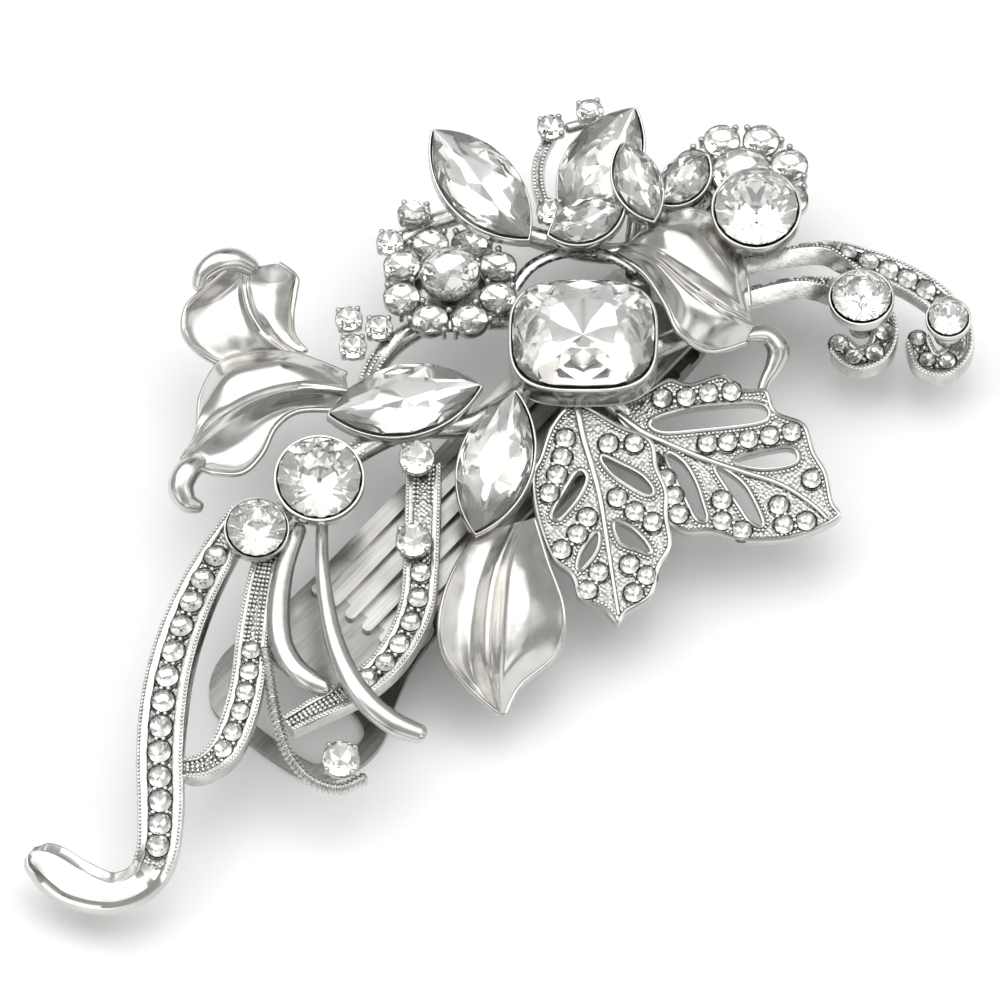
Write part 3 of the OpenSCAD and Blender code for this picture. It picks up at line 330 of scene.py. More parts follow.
def spaced(points, gap, closed=False):
    """Points every gap along a polyline, with the direction at each."""
    p = [np.array(q, float) for q in points]
    if closed:
        p = p + [p[0]]
    lengths = [np.linalg.norm(b - a) for a, b in zip(p, p[1:])]
    total = sum(lengths)
    count = max(1, int(round(total / gap)))
    out, i, done = [], 0, 0.0
    for k in range(count if closed else count + 1):
        want = total * k / count
        while i < len(lengths) - 1 and done + lengths[i] < want:
            done += lengths[i]
            i += 1
        f = min(1.0, (want - done) / max(lengths[i], 1e-9))
        out.append((p[i] + (p[i + 1] - p[i]) * f, unit(p[i + 1] - p[i])))
    return out


def line(path, n=8, upto=None, start=0.0):
    """A path's points, n to each control interval."""
    end = len(path) - 1 if upto is None else upto
    k = max(2, int((end - start) * n) + 1)
    return [at(path, start + (end - start) * i / (k - 1)) for i in range(k)]


# ---- placing ----


def rot(axis, degrees):
    c, s = math.cos(math.radians(degrees)), math.sin(math.radians(degrees))
    m = np.eye(4)
    i, j = {"x": (1, 2), "y": (2, 0), "z": (0, 1)}[axis]
    m[i, i] = m[j, j] = c
    m[i, j], m[j, i] = -s, s
    return m


def moved(p):
    m = np.eye(4)
    m[:3, 3] = p
    return m


def set_at(p, tilt=lean, turn=0):
    return moved(p) @ rot("x", tilt) @ rot("z", turn)


def axes_at(p, normal, spin=0.0):
    """A frame at p whose Z is the normal."""
    n = unit(np.array(normal, float))
    x = unit(np.cross([0.31, 0.95, 0.05], n))
    y = np.cross(n, x)
    m = np.eye(4)
    m[:3, 0], m[:3, 1], m[:3, 2], m[:3, 3] = x, y, n, p
    return m @ rot("z", spin)


def through(m, points):
    p = np.asarray(points, float)
    return p @ m[:3, :3].T + m[:3, 3]


def to_clip(x, y):
    """The ornament's x and y in the clip's frame, for numbers or whole arrays."""
    return x * TURN_COS + y * TURN_SIN, y * TURN_COS - x * TURN_SIN


def spray_direction(x, y, z):
    return Vector(to_clip(x, y) + (z,)).normalized()


def linked(name, data):
    obj = bpy.data.objects.new(name, data)
    bpy.context.scene.collection.objects.link(obj)
    return obj


# ---- mesh making ----


class Shape:
    """Points in the ornament's frame, faces, and each face's material number."""

    def __init__(self):
        self.points, self.faces, self.mats = [], [], []

    def add(self, points, faces, mats=MAIN):
        start = len(self.points)
        self.points.extend(tuple(p) for p in points)
        self.faces.extend(tuple(start + i for i in f) for f in faces)
        self.mats.extend(mats if isinstance(mats, list) else [mats] * len(faces))


def piece(name, shape, materials, node, angle=38):
    """One Blender object from a shape, riding on the holder and standing for a CAD node."""
    x, y, z = np.array(shape.points, float).T
    metres = np.stack([*to_clip(x, y), z], 1) / 1000
    mesh = bpy.data.meshes.new(name)
    mesh.from_pydata(metres.tolist(), [], shape.faces)
    mesh.polygons.foreach_set("material_index", shape.mats)
    bm = bmesh.new()
    bm.from_mesh(mesh)
    bmesh.ops.recalc_face_normals(bm, faces=bm.faces)
    bm.to_mesh(mesh)
    bm.free()
    mesh.shade_smooth()
    mesh.set_sharp_from_angle(angle=math.radians(angle))
    for m in materials:
        mesh.materials.append(m)
    obj = linked(name, mesh)
    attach(obj, HOLDER)
    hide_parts(node)


def loft(shape, rings, mats=MAIN, cap=MAIN):
    """Closed rings of equal length joined side by side, with both ends capped.

    mats is one number, or a list with a number or a row of numbers for each step.
    """
    n = len(rings[0])
    points = [p for r in rings for p in r]
    faces, numbers = [], []
    for i in range(len(rings) - 1):
        for k in range(n):
            a, b = i * n + k, i * n + (k + 1) % n
            faces.append((a, b, b + n, a + n))
            m = mats[i] if isinstance(mats, list) else mats
            numbers.append(m[k] if isinstance(m, list) else m)
    last = (len(rings) - 1) * n
    faces.append(tuple(range(n - 1, -1, -1)))
    faces.append(tuple(last + k for k in range(n)))
    numbers += [cap, cap]
    shape.add(points, faces, numbers)


def tube(shape, points, radii, sides=12, mat=MAIN, flat=1.0):
    """A rod through points, with rounded ends; flat is its height over its width."""
    p = [np.array(q[:3], float) for q in points]
    r = list(radii)
    a, b = unit(p[0] - p[1]), unit(p[-1] - p[-2])
    head = [p[0] + a * r[0] * 0.62, p[0] + a * r[0] * 0.48]
    tail = [p[-1] + b * r[-1] * 0.48, p[-1] + b * r[-1] * 0.62]
    p = head + p + tail
    r = [r[0] * 0.22, r[0] * 0.7] + r + [r[-1] * 0.7, r[-1] * 0.22]
    rings, u = [], np.array(UP, float)
    starts_upright = abs(np.dot(u, unit(p[1] - p[0]))) > 0.95
    if starts_upright:
        u = np.array((1.0, 0.0, 0.0))
    for i in range(len(p)):
        d = unit(p[min(i + 1, len(p) - 1)] - p[max(i - 1, 0)])
        s = unit(np.cross(u, d))
        n = np.cross(d, s)
        u = n
        rings.append([
            p[i] + r[i] * (s * math.cos(a) + n * flat * math.sin(a))
            for a in (2 * math.pi * k / sides for k in range(sides))
        ])
    loft(shape, rings, mat, mat)


def rod(shape, path, sides, n, flat=1.0):
    """A rod through [x, y, z, radius] control points."""
    pts = line(path, n)
    tube(shape, pts, [p[3] for p in pts], sides, MAIN, flat)


def lathe(shape, m, profile, n=48, mats=MAIN):
    """Profile [(r, z), ...] from the axis below to the axis above, turned about Z of m."""
    turns = [2 * math.pi * k / n for k in range(n)]
    rings = [
        through(m, [(r * math.cos(a), r * math.sin(a), z) for a in turns]) for r, z in profile
    ]
    loft(shape, rings, mats)


def bead_model():
    """A low round bead of radius 1: three rings of seven points under a top point."""
    points, faces = [(0, 0, 1)], []
    for polar in (38, 76, 125):
        for k in range(7):
            a = 2 * math.pi * (k + 0.5 * (polar == 76)) / 7
            s = math.sin(math.radians(polar))
            points.append((s * math.cos(a), s * math.sin(a), math.cos(math.radians(polar))))
    faces += [(0, 1 + k, 1 + (k + 1) % 7) for k in range(7)]
    for ring in range(2):
        for k in range(7):
            a, b = 1 + ring * 7 + k, 1 + ring * 7 + (k + 1) % 7
            faces.append((a, a + 7, b + 7, b))
    faces.append(tuple(15 + k for k in range(7)))
    return np.array(points), faces


BEAD_POINTS, BEAD_FACES = bead_model()


def bead(shape, p, normal, r):
    spin = 51 * (len(shape.points) % 7)
    shape.add(through(axes_at(p, normal, spin), BEAD_POINTS * r), BEAD_FACES)


def ball(shape, p, up, r):
    """A round grain, finer than a milgrain bead."""
    turns = [math.radians(a) for a in (12, 45, 75, 105, 135, 168)]
    lathe(shape, axes_at(p, up), [(r * math.sin(a), -r * math.cos(a)) for a in turns], 12)


def beads_along(shape, points, r, gap):
    for p, _ in spaced(points, gap):
        bead(shape, p, UP, r * chance.uniform(0.9, 1.08))


# ---- cut crystals ----


def round_outline(r):
    return lambda a: np.array([r * math.cos(a), r * math.sin(a)])


def navette_outline(l, w):
    """Two equal arcs that meet in points."""
    radius = (l * l + w * w) / (4 * w)
    drop = radius - w / 2

    def outline(a):
        x = l / 2 * math.cos(a)
        y = math.sqrt(max(radius**2 - x * x, 0)) - drop
        return np.array([x, math.copysign(y, math.sin(a))])

    return outline


def cushion_outline(l, w):
    """A superellipse: square-sided with round corners."""
    power = 2 / 3.1

    def outline(a):
        c, s = math.cos(a), math.sin(a)
        return np.array([
            l / 2 * math.copysign(abs(c) ** power, c), w / 2 * math.copysign(abs(s) ** power, s)
        ])

    return outline


def gem(shape, m, outline, crown, pavilion, table, girdle, mains=8):
    """Brilliant cut over any outline: glass above the girdle, foiled facets below it."""

    def ring(scale, count, half, z):
        return [
            tuple(outline(2 * math.pi * (k + half) / count) * scale) + (z,) for k in range(count)
        ]

    g = mains
    tops = ring(table, g, 0, crown)
    stars = ring(0.79, g, 0.5, crown * 0.62)
    upper = ring(1, 2 * g, 0, girdle)
    lower = ring(1, 2 * g, 0, -girdle)
    halves = ring(0.42, g, 0.5, -girdle - (pavilion - girdle) * 0.6)
    points = tops + stars + upper + lower + halves + [(0, 0, -pavilion)]
    s, u, w, h, c = g, 2 * g, 4 * g, 6 * g, 7 * g
    faces, mats = [tuple(range(g))], [MAIN]
    for k in range(g):
        n = (k + 1) % g
        faces.append((k, s + k, n))
        faces.append((k, s + (k - 1) % g, u + 2 * k, s + k))
        faces.append((s + k, u + 2 * k, u + 2 * k + 1))
        faces.append((s + k, u + 2 * k + 1, u + (2 * k + 2) % (2 * g)))
        mats += [MAIN] * 4
    for k in range(2 * g):
        n = (k + 1) % (2 * g)
        faces.append((u + k, w + k, w + n, u + n))
        mats.append(MAIN)
    for k in range(g):
        faces.append((c, h + (k - 1) % g, w + 2 * k, h + k))
        faces.append((h + k, w + 2 * k, w + 2 * k + 1))
        faces.append((h + k, w + 2 * k + 1, w + (2 * k + 2) % (2 * g)))
        mats += [DARK] * 3
    shape.add(through(m, points), faces, mats)


def round_gem(shape, m, r, deep):
    """A round brilliant, its pavilion `deep` radii deep."""
    spin = chance.uniform(0, 45)
    wobble = rot("x", chance.uniform(-3, 3)) @ rot("y", chance.uniform(-3, 3))
    gem(shape, m @ wobble @ rot("z", spin), round_outline(r), 0.38 * r, deep * r, 0.55, 0.05 * r)


# ---- settings ----


def round_cup(shape, m, r, depth, wall, lip=0.0):
    """A cup round a brilliant, painted dark inside for the shade under the crystal."""
    lathe(shape, m, [
        (0.02, -depth), (0.62 * r, -depth), (0.7 * r, -depth + 0.06),
        (0.86 * r, -0.66 * depth - 0.1), (r + wall * 0.8, -0.45 * r), (r + wall, -0.28 * r),
        (r + wall, lip - 0.12), (r + wall * 0.82, lip - 0.03), (r + wall * 0.5, lip),
        (r + wall * 0.22, lip - 0.04), (r + 0.02, lip - 0.14), (r - 0.02, lip - 0.25 * r),
        (0.8 * r, -0.5 * r), (0.02, -0.8 * r)
    ], 48, [MAIN] * 9 + [DARK] * 4)


def prongs(shape, m, r, count, start, thick, foot=-1.1):
    """Claws up the side of a round crystal, each ending in a ball on its edge."""
    for k in range(count):
        a = math.radians(start + 360 * k / count)
        d = np.array([math.cos(a), math.sin(a)])
        pts = [
            tuple(d * (r * 0.86 + 0.05)) + (foot,), tuple(d * (r + 0.12)) + (foot * 0.35,),
            tuple(d * (r + 0.08)) + (0.05,)
        ]
        tube(shape, through(m, pts), [thick * 0.8, thick * 0.8, thick * 0.75], 8)
        ball(shape, through(m, [tuple(d * (r + 0.02)) + (0.16,)])[0], m[:3, 2], thick * 1.12)


def fancy_bezel(shape, m, l, w, depth, wall, make):
    """Wall around an outline, painted dark inside for the shade under the crystal; make(length,
    width) gives the outline at an offset.
    """
    stretch = 1.2 if make is navette_outline else 1.0
    low, top, n = -depth, -0.08, 72
    profile = [
        (wall * 0.5, low), (wall * 0.9, low + 0.1), (wall, low + 0.3), (wall * 0.7, low + 0.42),
        (wall, low + 0.56), (wall, top - 0.2), (wall * 0.88, top - 0.05), (wall * 0.6, top),
        (wall * 0.32, top - 0.04), (wall * 0.2, top - 0.14), (0.02, top - 0.34), (-0.04, low + 1.0)
    ]
    rings = []
    for off, z in profile:
        o = make(l + 2 * off * stretch, w + 2 * off)
        rings.append(through(m, [tuple(o(2 * math.pi * k / n)) + (z,) for k in range(n)]))
    loft(shape, rings, [MAIN] * 8 + [DARK] * 3)


def seat(shape, m, r):
    """Dark ring a pave crystal sits in: painted shade round and under the crystal."""
    lathe(shape, m, [
        (0.02, -0.34), (r + 0.2, -0.34), (r + 0.2, 0.0), (r + 0.1, 0.04), (r - 0.05, -0.16),
        (0.02, -0.2)
    ], 20, DARK)


# ---- bands with set crystals ----


def band_section(w, depth, channel):
    """(side, height, material) round a band: raised rims and a sunk channel, or a dished ribbon.

    channel is 1 for the sunk channel, 0 for the ribbon, and between them where one fades out.
    """
    h = w / 2
    rim = min(1.1, w * 0.24)
    low = -0.3
    dish = -0.22 * (1 - channel)
    # The channel's walls take the dark metal: painted shade down its sides
    wall, ground, top = (DARK, GROUND, MAIN) if channel > 0.5 else (BRIGHT, BRIGHT, BRIGHT)
    return [
        (-h, -depth, top), (-h, -0.14, top), (-h + 0.07, 0.02, top), (-h + 0.2, 0.07, top),
        (-h + rim - 0.1, 0.05 + dish, top), (-h + rim, -0.02 + dish, wall),
        (-h + rim + 0.06, low, ground), (0, low - 0.12 * (1 - channel), ground),
        (h - rim - 0.06, low, wall), (h - rim, -0.02 + dish, top),
        (h - rim + 0.1, 0.05 + dish, top), (h - 0.2, 0.07, top), (h - 0.07, 0.02, top),
        (h, -0.14, top), (h, -depth, MAIN)
    ]


def channelled(t):
    return 1.0


def band(shape, path, depth, channel, n=9):
    """A band along a path; channel(t) says how channelled it is there."""
    last = (len(path) - 1) * n
    rings, mats = [], []
    for i in range(last + 1):
        t = i / n
        p, s, up = band_frame(path, t)
        c = channel(t)
        section = band_section(at(path, t)[3], depth - 0.9 * (1 - c), c)
        rings.append([p + s * a + up * b for a, b, _ in section])
        mats.append([c for _, _, c in section])
    loft(shape, rings, mats)


def milgrain(shape, path, start, end, r, gap=0.4, inset=0.26, lift=0.1):
    """A row of beads along both rims of a band."""
    n = max(2, int((end - start) * 24))
    for sign in (-1, 1):
        pts, ups = [], []
        for i in range(n + 1):
            t = start + (end - start) * i / n
            p, s, up = band_frame(path, t)
            pts.append(p + s * sign * (at(path, t)[3] / 2 - inset) + up * lift)
            ups.append(up)
        places = spaced(pts, gap)
        for k, (p, _) in enumerate(places):
            bead(shape, p, ups[min(n, k * n // len(places))], r)


def set_row(metal, stones, path, row, prong):
    """Crystals along a band, with a pair of prong beads in each gap."""
    first, last, count, r = row
    places = []
    for i in range(count):
        t = first + (last - first) * i / (count - 1)
        p, _, up = band_frame(path, t)
        places.append((t, p))
        seat(metal, axes_at(p, up), r)
        round_gem(stones, axes_at(p + up * 0.12, up), r, PAVE_DEEP)
    for (t0, p0), (t1, p1) in zip(places, places[1:]):
        p, s, up = band_frame(path, (t0 + t1) / 2)
        gap = np.linalg.norm(p1 - p0) / 2
        out = math.sqrt(max(0.04, (r + 0.12) ** 2 - gap**2)) + 0.16
        for sign in (-1, 1):
            bead(metal, p + s * sign * out + up * 0.12, up, prong)


# ---- petals ----


def petal(shape, left, vein, right, rise_left, rise_right, ridges, lips):
    """Cast petal through an edge, a vein and the other edge.

    The rises lift each half's middle, ridges are (column from 0 to 4, height, width), and lips
    lift the two edges.
    """
    n, cols = 14, 56
    span = len(vein) - 1
    rows = span * n
    top, under = [], []
    for i in range(rows + 1):
        t = i / n
        a, b, c = (np.array(at(q, t), float) for q in (left, vein, right))
        fade = min(1, 4 * t / span, 4 * (span - t) / span)
        left_middle = (a + b) / 2 + [0, 0, rise_left * fade]
        right_middle = (b + c) / 2 + [0, 0, rise_right * fade]
        row = [a, left_middle, b, right_middle, c]
        width = (np.linalg.norm(b - a) + np.linalg.norm(c - b)) / 4 + 1e-6
        soft = min(1, 3 * t / span + 0.25, 3 * (span - t) / span + 0.25)
        line_top, line_under = [], []
        for k in range(cols + 1):
            u = 4 * k / cols
            p = at(row, u)
            z = 0.0
            for u0, height, wide in ridges:
                z += height * soft * math.exp(-(((u - u0) * width / wide) ** 2))
            edge = min(u, 4 - u) * width
            lip = lips[0] if u < 2 else lips[1]
            z += lip * soft * math.exp(-((edge / 0.5) ** 2))
            body = 0.34 + (petal_t - 0.34) * min(1, edge / 1.6)
            roll = 0.16 * math.exp(-((edge / 0.12) ** 2))
            line_top.append(p + [0, 0, z - roll])
            line_under.append(p + [0, 0, z - body + roll])
        top.append(line_top)
        under.append(line_under)
    rings = [t + u[::-1] for t, u in zip(top, under)]
    loft(shape, rings)


# ---- materials ----


def new_material(name, metallic=0.0):
    """(material, node tree, principled shader, object coordinates)"""
    m = bpy.data.materials.new(name)
    m.use_nodes = True
    tree = m.node_tree
    tree.nodes.clear()
    out = tree.nodes.new("ShaderNodeOutputMaterial")
    shader = tree.nodes.new("ShaderNodeBsdfPrincipled")
    shader.inputs["Metallic"].default_value = metallic
    tree.links.new(shader.outputs[0], out.inputs[0])
    place = tree.nodes.new("ShaderNodeTexCoord").outputs["Object"]
    return m, tree, shader, place


def noise(tree, place, scale, detail=3.0, rough=0.55, stretch=None):
    if stretch:
        mapping = tree.nodes.new("ShaderNodeMapping")
        mapping.inputs["Scale"].default_value = stretch
        tree.links.new(place, mapping.inputs["Vector"])
        place = mapping.outputs[0]
    n = tree.nodes.new("ShaderNodeTexNoise")
    n.inputs["Scale"].default_value = scale
    n.inputs["Detail"].default_value = detail
    n.inputs["Roughness"].default_value = rough
    tree.links.new(place, n.inputs["Vector"])
    return n.outputs["Fac"]


def spread(tree, value, low, high, from_low=0.3, from_high=0.7):
    r = tree.nodes.new("ShaderNodeMapRange")
    r.inputs["From Min"].default_value = from_low
    r.inputs["From Max"].default_value = from_high
    r.inputs["To Min"].default_value = low
    r.inputs["To Max"].default_value = high
    tree.links.new(value, r.inputs["Value"])
    return r.outputs["Result"]


def ramp(tree, value, stops):
    r = tree.nodes.new("ShaderNodeValToRGB")
    e = r.color_ramp.elements
    e[0].position, e[0].color = stops[0][0], tuple(stops[0][1]) + (1,)
    e[1].position, e[1].color = stops[-1][0], tuple(stops[-1][1]) + (1,)
    for p, c in stops[1:-1]:
        e.new(p).color = tuple(c) + (1,)
    tree.links.new(value, r.inputs["Fac"])
    return r.outputs["Color"]


def bumped(tree, shader, height, strength, distance, normal=None):
    b = tree.nodes.new("ShaderNodeBump")
    b.inputs["Strength"].default_value = strength
    b.inputs["Distance"].default_value = distance
    tree.links.new(height, b.inputs["Height"])
    if normal:
        tree.links.new(normal, b.inputs["Normal"])
    tree.links.new(b.outputs[0], shader.inputs["Normal"])
    return b.outputs[0]


def coloured(tree, shader, value, stops):
    tree.links.new(ramp(tree, value, stops), shader.inputs["Base Color"])


def roughened(tree, shader, value, low, high):
    tree.links.new(spread(tree, value, low, high), shader.inputs["Roughness"])


def grey(v):
    """The slightly warm grey of the plating."""
    return (v, v * 0.985, v * 0.945)


def plated_metal(name, tint, rough, bumps):
    """Plate with a (scale, low, high) tint, a (scale, detail, low, high) roughness and
    (scale, detail, strength, distance) bumps."""
    m, tree, shader, place = new_material(name, 1.0)
    scale, low, high = tint
    coloured(tree, shader, noise(tree, place, scale), [(0.3, grey(low)), (0.7, grey(high))])
    scale, detail, low, high = rough
    roughened(tree, shader, noise(tree, place, scale, detail), low, high)
    normal = None
    for scale, detail, strength, distance in bumps:
        height = noise(tree, place, scale, detail)
        normal = bumped(tree, shader, height, strength, distance, normal)
    return m


def beaded_metal(name, scale, randomness, stops, rough, strength, distance):
    """A close grain of tiny beads, darker in the joints between them."""
    m, tree, shader, place = new_material(name, 1.0)
    cells = tree.nodes.new("ShaderNodeTexVoronoi")
    cells.inputs["Scale"].default_value = scale
    cells.inputs["Randomness"].default_value = randomness
    tree.links.new(place, cells.inputs["Vector"])
    away = cells.outputs["Distance"]
    coloured(tree, shader, away, [(p, grey(v)) for p, v in stops])
    scale, low, high = rough
    roughened(tree, shader, noise(tree, place, scale), low, high)
    bumped(tree, shader, spread(tree, away, 1, 0, 0, 0.7), strength, distance)
    return m


def brushed_metal():
    """Brushed plated steel: fine lines along the clip, a little duller at its wear spots."""
    m, tree, shader, place = new_material("brushed_steel", 1.0)
    lines = noise(tree, place, 2200, 5, 0.6, (0.03, 1.0, 1.0))
    coloured(tree, shader, lines, [(0.3, grey(0.34)), (0.7, grey(0.5))])
    roughened(tree, shader, noise(tree, place, 300), 0.24, 0.4)
    bumped(tree, shader, lines, 0.3, 0.00005)
    return m


def crystal_glass():
    """Clear leaded glass with barely visible polishing haze."""
    m, tree, shader, place = new_material("crystal_glass")
    shader.inputs["Transmission Weight"].default_value = 1.0
    shader.inputs["IOR"].default_value = 1.56
    stops = [(0.3, (0.965, 0.98, 0.985)), (0.7, (0.99, 0.995, 1.0))]
    coloured(tree, shader, noise(tree, place, 180), stops)
    roughened(tree, shader, noise(tree, place, 900), 0.0, 0.02)
    return m


def foil_with_painted_facets(name, low, middle):
    """Silvered back of the crystals, a little uneven in roughness; each facet is painted its own
    grey by its direction, a painted stand-in for facets lit and shaded differently.
    """
    m, tree, shader, place = new_material(name, 0.8)
    # Painted facet light and shade: a grey for each facet, picked from its direction
    facing = tree.nodes.new("ShaderNodeTexCoord").outputs["Normal"]
    stops = [(0.32, grey(low)), (0.5, grey(middle)), (0.64, (1.0, 0.995, 0.98))]
    coloured(tree, shader, noise(tree, facing, 3.2, 2), stops)
    roughened(tree, shader, noise(tree, place, 1400), 0.02, 0.08)
    return m


POLISHED = plated_metal("polished_rhodium", (260, 0.54, 0.66), (420, 4, 0.18, 0.28), [
    (330, 2, 0.12, 0.0004), (2600, 3, 0.08, 0.00006)
])
CAST = plated_metal("cast_rhodium", (700, 0.46, 0.66), (1500, 4, 0.14, 0.32), [
    (1300, 3, 0.35, 0.00012), (5200, 2, 0.2, 0.00004)
])
# Painted shade: nearly black beaded metal for cup and bezel insides, seats and channel walls, where
# shade falls
RECESS_SHADE = beaded_metal("painted_shade_recess", 2300, 1.0, [(0.15, 0.4), (0.5, 0.2), (0.75, 0.06)],
                      (1800, 0.3, 0.5), 0.8, 0.00018)
GRAIN = beaded_metal("granulated_rhodium", 2500, 0.55, [(0.25, 0.56), (0.5, 0.42), (0.72, 0.2)],
                     (1500, 0.18, 0.34), 0.5, 0.00016)
BRUSHED = brushed_metal()
WIRE = plated_metal("spring_wire", (1500, 0.5, 0.7), (900, 3, 0.2, 0.34), [(4000, 3, 0.2, 0.00004)])
GLASS = crystal_glass()
FOIL = foil_with_painted_facets("foil_with_painted_facets", 0.68, 0.94)
PAVE_FOIL = foil_with_painted_facets("pave_foil_painted_facets", 0.3, 0.62)
SETTING = [CAST, RECESS_SHADE, GRAIN, POLISHED]
STONE = [GLASS, FOIL]
PAVE = [GLASS, PAVE_FOIL]


def setting_piece(name, shape):
    piece(name + "_metal", shape, SETTING, name)


def bright_piece(name, shape, angle=38):
    piece(name + "_metal", shape, [POLISHED, RECESS_SHADE], name, angle)


def stone_piece(node, shape, materials=STONE):
    piece(node + "_cut", shape, materials, node, 5)


# ---- pave scrolls ----


def falling(t0, t1):
    """1 before t0, 0 after t1."""
    return lambda t: max(0.0, min(1.0, (t1 - t) / (t1 - t0)))


def scroll(name, path, rows, beaded, channel, stones_node, prong, grained=()):
    """A band with rows of crystals, milgrained rims, and more milgrain along its bare parts."""
    metal, stones = Shape(), Shape()
    band(metal, path, scroll_t, channel)
    milgrain(metal, path, *beaded, 0.19)
    for start, end in grained:
        for inset in (0.85, 1.25):
            milgrain(metal, path, start, end, 0.22, 0.5, inset, -0.12)
    for row in rows:
        set_row(metal, stones, path, row, prong)
    setting_piece(name, metal)
    stone_piece(stones_node, stones, PAVE)


scroll("long_scroll", long_path, [long_row], (0, 7.5), falling(7.2, 7.8),
       "long_scroll_crystals", 0.28)
scroll("short_scroll", short_path, [short_row], (0, 6.6), falling(6.5, 7),
       "short_scroll_crystals", 0.26, [(0.2, 2.1), (5.4, 6.6)])
scroll("inner_scroll", inner_path, [inner_row], (0, 9), channelled,
       "inner_scroll_crystals", 0.28, [(0, 0.7), (6.2, 9)])
scroll("upper_right_scroll", upper_right_path,
       [upper_right_edge_row, upper_right_flat_row, upper_right_curl_row], (0, 11), channelled,
       "upper_right_crystals", 0.26)
scroll("lower_right_scroll", lower_right_path, [lower_right_edge_row, lower_right_curl_row],
       (0, 8), channelled, "lower_right_crystals", 0.26)


# ---- filigree leaves ----


def inside(p, loop):
    x, y, odd = p[0], p[1], False
    for (x0, y0), (x1, y1) in zip(loop, loop[1:] + loop[:1]):
        if (y0 > y) != (y1 > y) and x < (x1 - x0) * (y - y0) / (y1 - y0) + x0:
            odd = not odd
    return odd


def to_segment(p, a, b):
    d = b - a
    t = max(0.0, min(1.0, float(np.dot(p - a, d) / max(np.dot(d, d), 1e-9))))
    return float(np.linalg.norm(p - a - d * t))


def to_line(p, pts, closed=False):
    pairs = zip(pts, pts[1:] + (pts[:1] if closed else []))
    return min(to_segment(p, a, b) for a, b in pairs)


def leaf_plate(shape, m, edge, slots, height):
    """Pierced plate: flat triangles between its loops, lifted by height(x, y)."""
    loops = [smooth_loop(c, 5) for c in [edge] + slots]
    points, links = [], []
    for loop in loops:
        start = len(points)
        points += loop
        links += [(start + i, start + (i + 1) % len(loop)) for i in range(len(loop))]
    flat = [[q.tolist() for q in loop] for loop in loops]
    lo = np.min(loops[0], axis=0)
    hi = np.max(loops[0], axis=0)
    step = 0.55
    y, odd = lo[1], 0
    while y < hi[1]:
        x = lo[0] + odd * step / 2
        while x < hi[0]:
            p = np.array([x, y])
            if inside(p, flat[0]) and not any(inside(p, f) for f in flat[1:]):
                if min(to_line(p, loop, True) for loop in loops) > 0.3:
                    points.append(p)
            x += step
        y += step * 0.87
        odd = 1 - odd
    made = geometry.delaunay_2d_cdt([Vector(p) for p in points], links, [], 1, 1e-5)
    co = [np.array(v) for v in made[0]]
    tris = []
    for f in made[2]:
        c = sum(co[i] for i in f) / len(f)
        if inside(c, flat[0]) and not any(inside(c, s) for s in flat[1:]):
            tris.append(tuple(f))
    n = len(co)
    top = [(p[0], p[1], height(p)) for p in co]
    under = [(p[0], p[1], height(p) - leaf_t) for p in co]
    faces = list(tris) + [tuple(n + i for i in reversed(f)) for f in tris]
    mats = [GROUND] * len(tris) + [MAIN] * len(tris)
    sides = dict.fromkeys(side for f in tris for side in zip(f, f[1:] + f[:1]))
    for a, b in sides:
        if (b, a) not in sides:
            faces.append((a, b, n + b, n + a))
            mats.append(BRIGHT)
    shape.add(through(m, top + under), faces, mats)
    return loops, flat[0]


